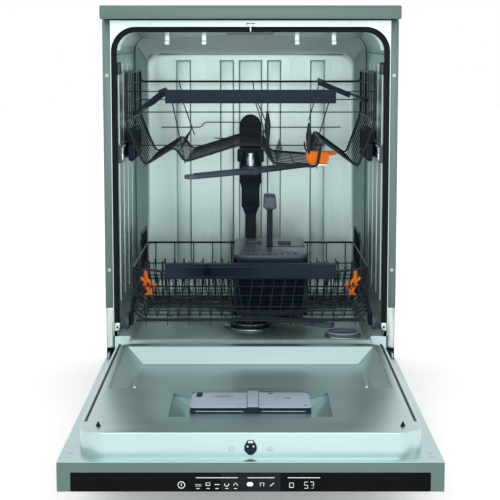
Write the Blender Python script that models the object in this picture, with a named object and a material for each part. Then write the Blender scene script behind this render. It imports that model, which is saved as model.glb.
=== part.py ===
"""Under-counter dishwasher with its door lowered, as separate pieces.

Lengths below are in millimetres. Across is X, and up is Z from the floor. Depth is counted from the
worktop's front edge towards the back, and place() turns it into the model's Y.
"""

import math

import bmesh
import bpy
from mathutils import Matrix, Vector

MM = 0.001
GAP = 0.3                       # air between pieces that rest on each other

# driving sizes
CABINET_HALF_WIDTH = 300.0
CABINET_HEIGHT = 850.0
CABINET_DEPTH = 600.0
DOOR_REACH = 660.0              # how far the lowered door stands out in front of the worktop
DOOR_HALF_WIDTH = 298.5
DOOR_OUTER_Z = 85.0             # outer face of the lowered door
DOOR_RIM_Z = 132.0              # flat rim of its liner
LINER_TOP_Z = 172.0             # raised middle of its liner
PIVOT_DEPTH = 36.0
PIVOT_Z = 123.0
WORKTOP_THICKNESS = 27.0
SHEET = 1.2
TUB_HALF_WIDTH = 277.0
TUB_TOP_Z = 803.0
TUB_FRONT = 47.0
TUB_BACK = 552.0
TUB_CENTRE = 300.0              # depth of the spray arms' axis
TRACK_Z = 171.7                 # ledge that the lower rack's wheels roll on
WIRE = 4.0
UPPER_ARM_TURN = 49.0
LOWER_ARM_TURN = -42.0

MIDDLE_DEPTH = (CABINET_DEPTH - DOOR_REACH) / 2
CLEAR_OUT = 20.0                # how far a cutter passes beyond what it cuts

MATERIALS = {
    "body_steel": ((0.30, 0.36, 0.34), 0.35, 0.9),
    "bright_steel": ((0.62, 0.68, 0.66), 0.22, 1.0),
    "zinc_steel": ((0.50, 0.52, 0.52), 0.40, 1.0),
    "rubber": ((0.02, 0.02, 0.025), 0.70, 0.0),
    "navy_plastic": ((0.035, 0.045, 0.065), 0.45, 0.0),
    "slate_plastic": ((0.11, 0.13, 0.18), 0.40, 0.0),
    "lilac_plastic": ((0.45, 0.48, 0.60), 0.35, 0.0),
    "orange_plastic": ((0.95, 0.25, 0.02), 0.40, 0.0),
    "coated_wire": ((0.03, 0.035, 0.045), 0.40, 0.0),
    "black_glass": ((0.01, 0.011, 0.014), 0.08, 0.0),
    "pale_plastic": ((0.70, 0.72, 0.70), 0.50, 0.0),
    "board_green": ((0.03, 0.16, 0.08), 0.50, 0.0),
}

FOOT_PLACES = {"front_left": (-250, 112), "front_right": (250, 112),
               "back_left": (-250, 550), "back_right": (250, 550)}
FOOT_STUD_RADIUS = 5.0
TRAY_BOTTOM = 32.0
INLET_X = -190.0
INLET_Z = 72.0
PORT_RADIUS = 12.0
SUMP_RADIUS = 60.0
SALT_X = 199.0
SALT_DEPTH = 150.0
CAP_RADIUS = 37.0
RAIL_NEAR = 92.0
RAIL_FAR = 505.0
RAIL_Z = (528.0, 566.0)
FEED_Z = 524.0
PIN_RADIUS = 4.0
STRIP_HALF_WIDTH = 277.0
STRIP_HEIGHT = 30.0
STRIP_DEPTH = 7.7
DOOR_END = 30.0                 # the door's hinge end
PLUG_HALF_WIDTH = 270.0
PLUG_NEAR = -638.0
PLUG_FAR = -20.0
DISPENSER = ((-99.0, 99.0), (-531.0, -431.0))
DISPENSER_TOP = 178.0
LATCH_HALF_WIDTH = 9.0
LATCH_Z = (137.0, 159.0)
UPPER_NEAR = 130.0
LOWER_NEAR = 120.0
WHEEL_RADIUS = 16.0
WHEEL_PLACES = {"front_left": (-1, 124), "front_right": (1, 124),
                "back_left": (-1, 470), "back_right": (1, 470)}
TINE_DEPTH = 310.0
BASKET_X = (-36.0, 122.0)
BASKET_DEPTH = (150.0, 410.0)
BASKET_Z = (194.0, 318.0)
HANDLE_TOP = 441.0


def place(x, depth, z):
    """A point of the model in metres, from millimetres across, behind the worktop's front, and up."""
    return Vector((x, depth - MIDDLE_DEPTH, z)) * MM


def clear_scene():
    for old in list(bpy.data.objects):
        bpy.data.objects.remove(old, do_unlink=True)


def material(name):
    made = bpy.data.materials.get(name)
    if made is None:
        colour, roughness, metallic = MATERIALS[name]
        made = bpy.data.materials.new(name)
        made.use_nodes = True
        shader = made.node_tree.nodes["Principled BSDF"]
        shader.inputs["Base Color"].default_value = (*colour, 1.0)
        shader.inputs["Roughness"].default_value = roughness
        shader.inputs["Metallic"].default_value = metallic
    return made


def add_object(name, mesh_data, finish, origin=None, smooth=False):
    """Links a bmesh as an object whose origin lies at the given point of the model."""
    bmesh.ops.recalc_face_normals(mesh_data, faces=mesh_data.faces)
    shift = origin if origin is not None else Vector((0, 0, 0))
    bmesh.ops.translate(mesh_data, verts=mesh_data.verts, vec=-shift)
    mesh = bpy.data.meshes.new(name)
    mesh_data.to_mesh(mesh)
    mesh_data.free()
    if smooth:
        mesh.shade_smooth()
        mesh.set_sharp_from_angle(angle=math.radians(35))
    made = bpy.data.objects.new(name, mesh)
    made.location = shift
    mesh.materials.append(material(finish))
    bpy.context.collection.objects.link(made)
    return made


def hide_tool(tool):
    tool.hide_render = True
    tool.display_type = "WIRE"


def shape_with(target, tool, operation):
    """Joins the tool to the target, or cuts it out, with an exact Boolean."""
    hide_tool(tool)
    modifier = target.modifiers.new(operation.lower(), "BOOLEAN")
    modifier.operation = operation
    modifier.solver = "EXACT"
    modifier.object = tool


def soften(target, width, segments=1):
    bevel = target.modifiers.new("edge", "BEVEL")
    bevel.width = width * MM
    bevel.segments = segments
    bevel.limit_method = "ANGLE"
    bevel.angle_limit = math.radians(40)


def box_mesh(across, depth, height):
    low = place(across[0], depth[0], height[0])
    high = place(across[1], depth[1], height[1])
    mesh_data = bmesh.new()
    bmesh.ops.create_cube(mesh_data, size=1.0)
    for corner in mesh_data.verts:
        corner.co = Vector([low[i] if corner.co[i] < 0 else high[i] for i in range(3)])
    return mesh_data


def add_box(name, across, depth, height, finish, origin=None, edge=0.0):
    made = add_object(name, box_mesh(across, depth, height), finish, origin)
    if edge:
        soften(made, edge)
    return made


def add_prism(name, outline, axis, span, finish, origin=None, smooth=False):
    """Extrudes a closed outline along an axis. The outline's points are (depth, z) for X, (x, z) for
    Y and (x, depth) for Z."""
    mesh_data = bmesh.new()
    rings = []
    for step in span:
        ring = []
        for first, second in outline:
            if axis == "X":
                point = place(step, first, second)
            elif axis == "Y":
                point = place(first, step, second)
            else:
                point = place(first, second, step)
            ring.append(mesh_data.verts.new(point))
        rings.append(ring)
    mesh_data.faces.new(rings[0])
    mesh_data.faces.new(list(reversed(rings[1])))
    count = len(outline)
    for i in range(count):
        j = (i + 1) % count
        mesh_data.faces.new((rings[0][i], rings[1][i], rings[1][j], rings[0][j]))
    return add_object(name, mesh_data, finish, origin, smooth)


def add_turned(name, profile, centre, finish, axis="Z", segments=32, origin=None, closed=False):
    """Turns a profile of (radius, height) about an axis through the centre, given as (x, depth, z).
    An open profile starts and ends on the axis; a closed one makes a ring."""
    mesh_data = bmesh.new()
    middle = place(*centre)
    turn = {"Z": Matrix(), "X": Matrix.Rotation(math.pi / 2, 4, "Y"),
            "Y": Matrix.Rotation(-math.pi / 2, 4, "X")}[axis]
    rings = []
    for radius, height in profile:
        if radius == 0:
            point = middle + turn @ (Vector((0, 0, height)) * MM)
            rings.append([mesh_data.verts.new(point)] * segments)
            continue
        ring = []
        for i in range(segments):
            angle = 2 * math.pi * i / segments
            spoke = Vector((radius * math.cos(angle), radius * math.sin(angle), height)) * MM
            ring.append(mesh_data.verts.new(middle + turn @ spoke))
        rings.append(ring)
    pairs = list(zip(rings, rings[1:]))
    if closed:
        pairs.append((rings[-1], rings[0]))
    for low, high in pairs:
        for i in range(segments):
            j = (i + 1) % segments
            corners = []
            for corner in (low[i], low[j], high[j], high[i]):
                if corner not in corners:
                    corners.append(corner)
            mesh_data.faces.new(corners)
    return add_object(name, mesh_data, finish, origin, smooth=True)


def mirrored(points):
    """The right half of an outline, from its half of points at negative X."""
    return [(-x, z) for x, z in reversed(points) if x != 0]


def archway(half_width, top_z, bottom_z, radius, steps=6):
    """Points of an upright arch with rounded shoulders, from its left foot to its right foot."""
    left = [(-half_width, bottom_z)]
    for i in range(steps + 1):
        angle = math.pi - math.pi / 2 * i / steps
        left.append((-half_width + radius + radius * math.cos(angle),
                     top_z - radius + radius * math.sin(angle)))
    return left + mirrored(left)


def rounded_box(half_width, near, far, radius, steps=5):
    """Points (x, depth) of a rectangle in plan with round corners, counted anticlockwise."""
    points = []
    corners = ((half_width - radius, far - radius, 0), (-half_width + radius, far - radius, 90),
               (-half_width + radius, near + radius, 180), (half_width - radius, near + radius, 270))
    for x, depth, start in corners:
        for i in range(steps + 1):
            angle = math.radians(start + 90 * i / steps)
            points.append((x + radius * math.cos(angle), depth + radius * math.sin(angle)))
    return points


def add_lofted_sheet(name, rings, finish, closed_rings, grows):
    """Skins successive rings of model points, caps the last ring and gives the sheet its thickness,
    which grows along the skin's outward side (1) or its inner side (-1)."""
    mesh_data = bmesh.new()
    rows = [[mesh_data.verts.new(place(*point)) for point in ring] for ring in rings]
    count = len(rows[0])
    last = count if closed_rings else count - 1
    for low, high in zip(rows, rows[1:]):
        for i in range(last):
            j = (i + 1) % count
            mesh_data.faces.new((low[i], low[j], high[j], high[i]))
    mesh_data.faces.new(rows[-1])
    made = add_object(name, mesh_data, finish)
    add_wall(made, grows)
    return made


def add_wall(sheet, grows):
    wall = sheet.modifiers.new("wall", "SOLIDIFY")
    wall.thickness = SHEET * MM
    wall.offset = grows
    wall.use_even_offset = True


def add_worktop():
    lid = add_box("worktop_lid", (-CABINET_HALF_WIDTH, CABINET_HALF_WIDTH), (0, CABINET_DEPTH),
                  (CABINET_HEIGHT - WORKTOP_THICKNESS, CABINET_HEIGHT), "body_steel")
    wall = 3
    under = add_box("worktop_underside", (wall - CABINET_HALF_WIDTH, CABINET_HALF_WIDTH - wall),
                    (wall, CABINET_DEPTH - wall),
                    (CABINET_HEIGHT - WORKTOP_THICKNESS - CLEAR_OUT, CABINET_HEIGHT - wall), "body_steel")
    soften(lid, 2.5, 2)
    shape_with(lid, under, "DIFFERENCE")


def add_side_panel(side, name):
    """A folded sheet with a flange at its front and back; the front flange stops above the hinge."""
    outer = CABINET_HALF_WIDTH
    inner = outer - SHEET
    front = TUB_FRONT - 0.5
    back = CABINET_DEPTH - 2
    front_flange = 15
    back_flange = 14
    outline = [(outer, front), (outer, back), (outer - back_flange, back),
               (outer - back_flange, back - SHEET), (inner, back - SHEET), (inner, front + SHEET),
               (outer - front_flange, front + SHEET), (outer - front_flange, front)]
    top = CABINET_HEIGHT - WORKTOP_THICKNESS - GAP
    panel = add_prism(name, [(side * x, depth) for x, depth in outline], "Z", (60, top), "body_steel")
    notch_top = 232
    notch = add_box(name + "_notch", sorted((side * (outer - 25), side * (outer + CLEAR_OUT))),
                    (front - CLEAR_OUT, front + 12), (40, notch_top), "body_steel")
    shape_with(panel, notch, "DIFFERENCE")


def add_rear_panel():
    add_box("rear_panel", (-299, 299), (CABINET_DEPTH - 1.6, CABINET_DEPTH - 0.4),
            (105, CABINET_HEIGHT - WORKTOP_THICKNESS - 1), "zinc_steel")


def add_kick_plate():
    front = 52
    flange = 12
    low = 14
    high = 112
    outline = [(front, low), (front + flange, low), (front + flange, low + SHEET),
               (front + SHEET, low + SHEET), (front + SHEET, high - SHEET),
               (front + flange, high - SHEET), (front + flange, high), (front, high)]
    add_prism("kick_plate", outline, "X", (-284, 284), "body_steel")


def add_base_tray():
    wall = 3
    tray = add_box("base_tray", (-296, 296), (72, 594), (TRAY_BOTTOM, 104), "navy_plastic")
    inside = add_box("base_tray_inside", (-296 + wall, 296 - wall), (72 + wall, 594 - wall),
                     (TRAY_BOTTOM + wall, 104 + CLEAR_OUT), "navy_plastic")
    shape_with(tray, inside, "DIFFERENCE")
    for corner, (x, depth) in FOOT_PLACES.items():
        hole = add_turned("stud_hole_" + corner, [(0, 0), (6, 0), (6, 30), (0, 30)],
                          (x, depth, TRAY_BOTTOM - 10), "navy_plastic", segments=16)
        shape_with(tray, hole, "DIFFERENCE")
    port_hole = add_turned("port_hole", [(0, 0), (13, 0), (13, 20), (0, 20)],
                           (INLET_X, 582, INLET_Z), "navy_plastic", axis="Y", segments=24)
    shape_with(tray, port_hole, "DIFFERENCE")


def add_feet():
    pad_radius = 20
    for corner, (x, depth) in FOOT_PLACES.items():
        profile = [(0, 0), (pad_radius - 2, 0), (pad_radius, 2), (pad_radius, 7), (pad_radius - 4, 10),
                   (FOOT_STUD_RADIUS, 10), (FOOT_STUD_RADIUS, 62), (0, 62)]
        add_turned("foot_" + corner, profile, (x, depth, 0), "navy_plastic", segments=20,
                   origin=place(x, depth, 0))


def add_tub_shell():
    """Front frame, gasket channel, sides, ceiling and a back that is drawn in all round."""
    foot = TRACK_Z + 0.5
    channel = TUB_FRONT + 16
    frame_top = CABINET_HEIGHT - WORKTOP_THICKNESS - GAP - SHEET
    stations = ((TUB_FRONT, 284.4, frame_top, 2), (TUB_FRONT, TUB_HALF_WIDTH + 6, TUB_TOP_Z + 6, 50),
                (channel, TUB_HALF_WIDTH + 6, TUB_TOP_Z + 6, 50),
                (channel, TUB_HALF_WIDTH, TUB_TOP_Z, 44), (TUB_BACK - 42, TUB_HALF_WIDTH, TUB_TOP_Z, 44),
                (TUB_BACK, 250, 757, 24))
    rings = []
    for depth, half_width, top, radius in stations:
        rings.append([(x, depth, z) for x, z in archway(half_width, top, foot, radius)])
    add_lofted_sheet("tub_shell", rings, "bright_steel", closed_rings=False, grows=1)


def add_tub_floor():
    """Wheel ledges along both sides, a low sill in front and a basin that falls to the sump."""
    columns = (-276.7, -252, -244, -95, 95, 244, 252, 276.7)
    rows = (48, 66, 92, 205, 395, 512, 550)
    mesh_data = bmesh.new()
    grid = []
    for depth in rows:
        line = []
        for x in columns:
            edge = depth in (rows[0], rows[1], rows[-1])
            middle = abs(x) < 100 and depth in (rows[3], rows[4])
            height = 163.0 if edge else (140.0 if middle else 150.0)
            if abs(x) > 250:
                height = TRACK_Z
            line.append(mesh_data.verts.new(place(x, depth, height)))
        grid.append(line)
    for near, far in zip(grid, grid[1:]):
        for i in range(len(columns) - 1):
            mesh_data.faces.new((near[i], near[i + 1], far[i + 1], far[i]))
    floor = add_object("tub_floor", mesh_data, "bright_steel")
    add_wall(floor, -1)
    sump_hole = add_turned("sump_hole", [(0, -30), (SUMP_RADIUS, -30), (SUMP_RADIUS, 30), (0, 30)],
                           (0, TUB_CENTRE, 145), "bright_steel", segments=40)
    shape_with(floor, sump_hole, "DIFFERENCE")
    neck = CAP_RADIUS + 3
    salt_hole = add_turned("salt_hole", [(0, -30), (neck, -30), (neck, 30), (0, 30)],
                           (SALT_X, SALT_DEPTH, 150), "bright_steel", segments=32)
    shape_with(floor, salt_hole, "DIFFERENCE")


def add_gasket():
    """Bulb seal in the channel round the tub's mouth, open at its foot."""
    outer = archway(TUB_HALF_WIDTH + 5.6, TUB_TOP_Z + 5.6, 180, 50)
    inner = archway(272, 798, 180, 40)
    add_prism("door_gasket", outer + list(reversed(inner)), "Y", (TUB_FRONT + 0.4, TUB_FRONT + 15.4),
              "rubber")


def add_strike():
    """Keeper on the tub's front frame, with a tongue over the gasket."""
    outline = [(-9, 810), (-1.5, 810), (-1.5, 799), (1.5, 799), (1.5, 810), (9, 810), (9, 816), (-9, 816)]
    add_prism("door_strike", outline, "Y", (TUB_FRONT - 1.4, TUB_FRONT - GAP), "bright_steel")


def add_rail(side, name):
    low, high = RAIL_Z
    back = TUB_HALF_WIDTH - 0.4
    lip = back - 7
    outline = [(back, low), (back, high), (lip, high), (lip, high - SHEET), (back - SHEET, high - SHEET),
               (back - SHEET, low + SHEET), (lip, low + SHEET), (lip, low)]
    add_prism(name, [(side * x, z) for x, z in outline], "Y", (RAIL_NEAR, RAIL_FAR), "bright_steel")


def add_slide(side, name):
    """Runner in the rail, slim enough to pass out between the gasket's sides."""
    low, high = RAIL_Z
    outer = 271.5
    inner = 264.5
    edge = 2.4
    waist = 9
    outline = [(outer, low + edge), (outer, high - edge), (outer - 3, high - edge),
               (inner, high - waist), (inner, low + waist), (outer - 3, low + edge)]
    add_prism(name, [(side * x, z) for x, z in outline], "Y", (RAIL_NEAR, RAIL_FAR - 5), "bright_steel")


def add_adjuster(side, name):
    """Block that joins the upper rack to its slide, with a release lever on its top."""
    across = sorted((side * 252.5, side * 264.2))
    block = add_box(name, across, (205, 395), (524, 592), "navy_plastic")
    lever = add_box(name + "_lever", sorted((side * 254, side * 263)), (196, 240), (560, 598),
                    "navy_plastic")
    shape_with(block, lever, "UNION")


def add_feed_column():
    """Water duct up the back wall, widening to the dock that feeds the upper rack."""
    left = [(-13, 163.5), (-13, 368), (-22, 388), (-22, 437), (-26, 446), (-26, 583)]
    for i in range(1, 6):
        angle = math.pi - math.pi / 2 * i / 6
        left.append((26 * math.cos(angle), 583 + 26 * math.sin(angle)))
    left.append((0, 609))
    column = add_prism("feed_column", left + mirrored(left), "Y", (524, 546), "navy_plastic")
    dock = add_turned("feed_column_dock", [(0, 0), (16, 0), (16, 16), (0, 16)], (0, 512, FEED_Z),
                      "navy_plastic", axis="Y", segments=20)
    shape_with(column, dock, "UNION")


def add_sump():
    """Cup under the floor with the tower that carries the lower spray arm."""
    profile = [(9, 74), (SUMP_RADIUS - 0.5, 74), (SUMP_RADIUS - 0.5, 139.4), (48, 139.4), (48, 86),
               (14, 86), (14, 158), (9, 158)]
    add_turned("sump", profile, (0, TUB_CENTRE, 0), "slate_plastic", segments=36, closed=True)


def add_filter_cup():
    profile = [(16, 92), (44, 92), (44, 148), (36, 148), (36, 146), (42.5, 146), (42.5, 94),
               (17.5, 94), (17.5, 148), (16, 148)]
    add_turned("filter_cup", profile, (0, TUB_CENTRE, 0), "slate_plastic", segments=32,
               origin=place(0, TUB_CENTRE, 92), closed=True)


def add_pumps():
    main = add_turned("circulation_pump", [(0, -205), (30, -205), (42, -190), (42, -110), (36, -104),
                                           (36, -70), (0, -70)],
                      (0, TUB_CENTRE, 82), "slate_plastic", axis="X", segments=24)
    outlet = add_turned("pump_outlet", [(0, 0), (14, 0), (14, 60), (0, 60)],
                        (-120, TUB_CENTRE - 75, 84), "slate_plastic", axis="Y", segments=16)
    shape_with(main, outlet, "UNION")
    drain = add_turned("drain_pump", [(0, 0), (22, 0), (28, 8), (28, 52), (20, 58), (20, 88), (0, 88)],
                       (0, 148, 80), "navy_plastic", axis="Y", segments=24)
    spigot = add_turned("drain_spigot", [(0, 0), (9, 0), (9, 52), (0, 52)], (0, 176, 80),
                        "navy_plastic", axis="X", segments=16)
    shape_with(drain, spigot, "UNION")


def add_softener():
    """Hollow tank whose neck comes up through the tub's floor under the salt cap."""
    tank = add_box("softener_tank", (112, 284), (108, 330), (66, 138), "pale_plastic")
    neck = add_turned("softener_neck", [(0, 0), (CAP_RADIUS, 0), (CAP_RADIUS, 16), (0, 16)],
                      (SALT_X, SALT_DEPTH, 133.5), "pale_plastic", segments=28)
    inside = add_box("softener_inside", (116, 280), (112, 326), (70, 134), "pale_plastic")
    bore = add_turned("softener_bore", [(0, 0), (31, 0), (31, 60), (0, 60)],
                      (SALT_X, SALT_DEPTH, 120), "pale_plastic", segments=28)
    shape_with(tank, neck, "UNION")
    shape_with(tank, inside, "DIFFERENCE")
    shape_with(tank, bore, "DIFFERENCE")
    cap = add_turned("salt_cap", [(0, 149.9), (CAP_RADIUS, 149.9), (CAP_RADIUS, 156), (32, 160),
                                  (0, 160)],
                     (SALT_X, SALT_DEPTH, 0), "slate_plastic", segments=28,
                     origin=place(SALT_X, SALT_DEPTH, 150))
    grip = add_box("salt_cap_grip", (SALT_X - 26, SALT_X + 26), (SALT_DEPTH - 4, SALT_DEPTH + 4),
                   (157, 164), "slate_plastic")
    shape_with(cap, grip, "UNION")


def add_inlet():
    valve = add_box("inlet_valve", (INLET_X - 28, INLET_X + 28), (545, 588), (46, 98), "pale_plastic",
                    edge=3)
    port = add_turned("inlet_port", [(0, 0), (PORT_RADIUS, 0), (PORT_RADIUS, 16), (0, 16)],
                      (INLET_X, 583, INLET_Z), "pale_plastic", axis="Y", segments=24)
    bore = add_turned("inlet_bore", [(0, 0), (6, 0), (6, 30), (0, 30)],
                      (INLET_X, 585, INLET_Z), "pale_plastic", axis="Y", segments=16)
    shape_with(valve, port, "UNION")
    shape_with(valve, bore, "DIFFERENCE")


def add_hinge(side, end):
    """Bracket with its pin on the cabinet, and the door's arm that turns on the pin."""
    bracket = add_box("hinge_bracket_" + end, sorted((side * 292, side * 295)), (31, 120), (106, 138),
                      "zinc_steel")
    pin_start = side * 290 if side < 0 else 284
    pin = add_turned("hinge_pin_" + end, [(0, 0), (PIN_RADIUS, 0), (PIN_RADIUS, 10), (0, 10)],
                     (pin_start - (4 if side < 0 else 0), PIVOT_DEPTH, PIVOT_Z), "zinc_steel",
                     axis="X", segments=16)
    shape_with(bracket, pin, "UNION")
    arm = add_box("hinge_arm_" + end, sorted((side * 286.5, side * 290.5)), (-130, 50), (104, 130),
                  "zinc_steel", origin=place(side * 288, PIVOT_DEPTH, PIVOT_Z))
    eye = add_turned("hinge_eye_" + end, [(0, 0), (PIN_RADIUS + 0.4, 0), (PIN_RADIUS + 0.4, 20), (0, 20)],
                     (side * 288 - 10, PIVOT_DEPTH, PIVOT_Z), "zinc_steel", axis="X", segments=16)
    shape_with(arm, eye, "DIFFERENCE")


def add_door_panel():
    """Folded outer sheet with a front, two sides and a bed for the control strip."""
    front = -DOOR_REACH
    panel = add_box("door_outer_panel", (-DOOR_HALF_WIDTH, DOOR_HALF_WIDTH), (front, DOOR_END),
                    (DOOR_OUTER_Z, DOOR_RIM_Z - SHEET - GAP), "body_steel",
                    origin=place(0, PIVOT_DEPTH, PIVOT_Z))
    inside = add_box("door_inside", (-DOOR_HALF_WIDTH + SHEET, DOOR_HALF_WIDTH - SHEET),
                     (front + SHEET, DOOR_END + CLEAR_OUT), (DOOR_OUTER_Z + SHEET, DOOR_RIM_Z + CLEAR_OUT),
                     "body_steel")
    bed = add_box("strip_bed", (-STRIP_HALF_WIDTH - GAP, STRIP_HALF_WIDTH + GAP),
                  (front - CLEAR_OUT, front + STRIP_DEPTH + GAP),
                  (DOOR_OUTER_Z - CLEAR_OUT, DOOR_OUTER_Z + STRIP_HEIGHT + GAP), "body_steel")
    shape_with(panel, inside, "DIFFERENCE")
    shape_with(panel, bed, "DIFFERENCE")


def add_control_strip():
    front = -DOOR_REACH
    add_box("control_strip", (-STRIP_HALF_WIDTH, STRIP_HALF_WIDTH), (front, front + STRIP_DEPTH),
            (DOOR_OUTER_Z, DOOR_OUTER_Z + STRIP_HEIGHT), "black_glass")


def add_control_board():
    board = add_box("control_board", (-150, 130), (-650, -606), (92, 93.6), "board_green")
    display = add_box("board_display", (50, 110), (-649, -634), (93, 106), "board_green")
    relay = add_box("board_relay", (-120, -90), (-630, -612), (93, 112), "board_green")
    chip = add_box("board_chip", (-40, -12), (-640, -618), (93, 96.5), "board_green")
    for raised in (display, relay, chip):
        shape_with(board, raised, "UNION")


def add_liner():
    """Inner door: a flat rim, a raised middle and a basin that deepens towards the hinge."""
    rim = rounded_box(DOOR_HALF_WIDTH, -DOOR_REACH + 0.3, DOOR_END, 2)
    plug = rounded_box(PLUG_HALF_WIDTH, PLUG_NEAR, PLUG_FAR, 44)
    basin = rounded_box(248, -372, -45, 6)
    bed = rounded_box(215, -362, -105, 6)
    bed_near, bed_far, bed_low, bed_high = -362, -105, 150.0, 170.5
    fall = (bed_high - bed_low) / (bed_far - bed_near)
    rings = [[(x, depth, DOOR_RIM_Z) for x, depth in rim],
             [(x, depth, DOOR_RIM_Z) for x, depth in plug],
             [(x, depth, LINER_TOP_Z) for x, depth in plug],
             [(x, depth, LINER_TOP_Z) for x, depth in basin],
             [(x, depth, bed_high - fall * (depth - bed_near)) for x, depth in bed]]
    liner = add_lofted_sheet("door_inner_liner", rings, "bright_steel", closed_rings=True, grows=-1)
    (left, right), (near, far) = DISPENSER
    well = add_box("dispenser_well", (left + 4.6, right - 4.6), (near + 4.6, far - 4.6), (100, 200),
                   "bright_steel")
    window = add_box("latch_window", (-LATCH_HALF_WIDTH - 0.4, LATCH_HALF_WIDTH + 0.4),
                     (PLUG_NEAR - 10, PLUG_NEAR + 10), (LATCH_Z[0] - 0.4, LATCH_Z[1] + 0.4),
                     "bright_steel")
    shape_with(liner, well, "DIFFERENCE")
    shape_with(liner, window, "DIFFERENCE")
    for side in (-1, 1):
        notch = add_box("hinge_notch_%d" % side, sorted((side * 284, side * (DOOR_HALF_WIDTH + CLEAR_OUT))),
                        (8, DOOR_END + CLEAR_OUT), (100, 150), "bright_steel")
        shape_with(liner, notch, "DIFFERENCE")


def add_latch():
    add_box("latch_bolt", (-LATCH_HALF_WIDTH, LATCH_HALF_WIDTH), (PLUG_NEAR - 0.2, PLUG_NEAR + 20),
            LATCH_Z, "navy_plastic", origin=place(0, PLUG_NEAR, sum(LATCH_Z) / 2))


def add_dispenser():
    """Flanged body with a detergent well, and its two lids."""
    (left, right), (near, far) = DISPENSER
    top = DISPENSER_TOP
    seat = LINER_TOP_Z + GAP
    bridge = (-5.5, 13.5)
    lid_height = (top + GAP, top + 5)
    body = add_box("dispenser_body", (left, right), (near, far), (seat, top), "slate_plastic")
    lower = add_box("dispenser_lower", (left + 5, right - 5), (near + 5, far - 5), (122, top - 1),
                    "slate_plastic")
    middle = add_box("dispenser_bridge", bridge, (near + 1, far - 1), (top - 1, lid_height[1]),
                     "slate_plastic")
    detergent = add_box("detergent_well", (left + 9, bridge[0] - 4), (near + 9, far - 9),
                        (128, top + CLEAR_OUT), "slate_plastic")
    rinse = add_box("rinse_well", (bridge[1] + 6, right - 12), (near + 14, far - 14),
                    (128, top + CLEAR_OUT), "slate_plastic")
    shape_with(body, lower, "UNION")
    shape_with(body, middle, "UNION")
    shape_with(body, detergent, "DIFFERENCE")
    shape_with(body, rinse, "DIFFERENCE")
    hinge_z = top + 2.6
    add_box("detergent_lid", (left, bridge[0] - 0.5), (near, far), lid_height, "lilac_plastic",
            origin=place(left, (near + far) / 2, hinge_z), edge=1)
    add_box("rinse_lid", (bridge[1] + 0.5, right), (near, far), lid_height, "lilac_plastic",
            origin=place(right, (near + far) / 2, hinge_z), edge=1)


def add_spray_arm(name, half_length, low, high, turn, root_width, tip_width, hub):
    """Flat hollow-looking arm with round tips, turned about the tub's middle, over a round hub."""
    outline = []
    for end in (1, -1):
        tip = half_length - tip_width / 2
        outline.append((0, -end * root_width / 2))
        for i in range(7):
            angle = math.radians(-90 + 30 * i)
            outline.append((end * (tip + tip_width / 2 * math.cos(angle)),
                            end * tip_width / 2 * math.sin(angle)))
    spin = math.radians(turn)
    placed = []
    for x, y in outline:
        placed.append((x * math.cos(spin) - y * math.sin(spin),
                       TUB_CENTRE + x * math.sin(spin) + y * math.cos(spin)))
    centre = place(0, TUB_CENTRE, (low + high) / 2)
    arm = add_prism(name, placed, "Z", (low, high), "slate_plastic", origin=centre)
    soften(arm, 2.5)
    hub_radius, hub_low, hub_high = hub
    boss = add_turned(name + "_boss", [(0, hub_low), (hub_radius, hub_low), (hub_radius, hub_high),
                                       (0, hub_high)],
                      (0, TUB_CENTRE, 0), "slate_plastic", segments=24)
    shape_with(arm, boss, "UNION")


def add_spray_arms():
    add_spray_arm("upper_spray_arm", 207, 488, 500, UPPER_ARM_TURN, 38, 27, (20, 486, 505))
    add_spray_arm("lower_spray_arm", 236, 167, 179, LOWER_ARM_TURN, 42, 30, (22, 158.6, 183))


def add_rack_feed():
    """Pipe under the upper rack from the dock to the arm's hub."""
    run = TUB_CENTRE - 12
    pipe = add_turned("rack_feed_pipe", [(0, 0), (10, 0), (10, 511.4 - run), (0, 511.4 - run)],
                      (0, run, FEED_Z), "navy_plastic", axis="Y", segments=20)
    hub = add_turned("rack_feed_hub", [(0, 506), (24, 506), (24, 514), (15, 520), (15, 538), (0, 538)],
                     (0, TUB_CENTRE, 0), "navy_plastic", segments=24)
    shape_with(pipe, hub, "UNION")


def add_wire_rack(name, profile, levels, near, far, rows):
    """Wire basket. The profile runs across the rack from its left rim to its right rim; its floor and
    sides are crossed by rows of wires, and each end is closed by uprights with a wire at each level."""
    mesh_data = bmesh.new()
    depths = [near + (far - near) * i / rows for i in range(rows + 1)]
    grid = [[mesh_data.verts.new(place(x, depth, z)) for x, z in profile] for depth in depths]
    for first, second in zip(grid, grid[1:]):
        for i in range(len(profile) - 1):
            mesh_data.faces.new((first[i], first[i + 1], second[i + 1], second[i]))
    corner = 2
    last = len(profile) - 1 - corner
    rim_index = {level: next(i for i, point in enumerate(profile) if point[1] == level)
                 for level in levels}
    for row, depth in ((grid[0], depths[0]), (grid[-1], depths[-1])):
        below = row[corner:last + 1]
        for level in levels:
            above = [row[rim_index[level]]]
            for x, _ in profile[corner + 1:last]:
                above.append(mesh_data.verts.new(place(x, depth, level)))
            above.append(row[len(profile) - 1 - rim_index[level]])
            for i in range(len(above) - 1):
                mesh_data.faces.new((below[i], below[i + 1], above[i + 1], above[i]))
            below = above
    rack = add_object(name, mesh_data, "coated_wire")
    wires = rack.modifiers.new("wires", "WIREFRAME")
    wires.thickness = WIRE * MM
    wires.use_even_offset = True
    wires.use_boundary = True
    wires.use_replace = True


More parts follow.
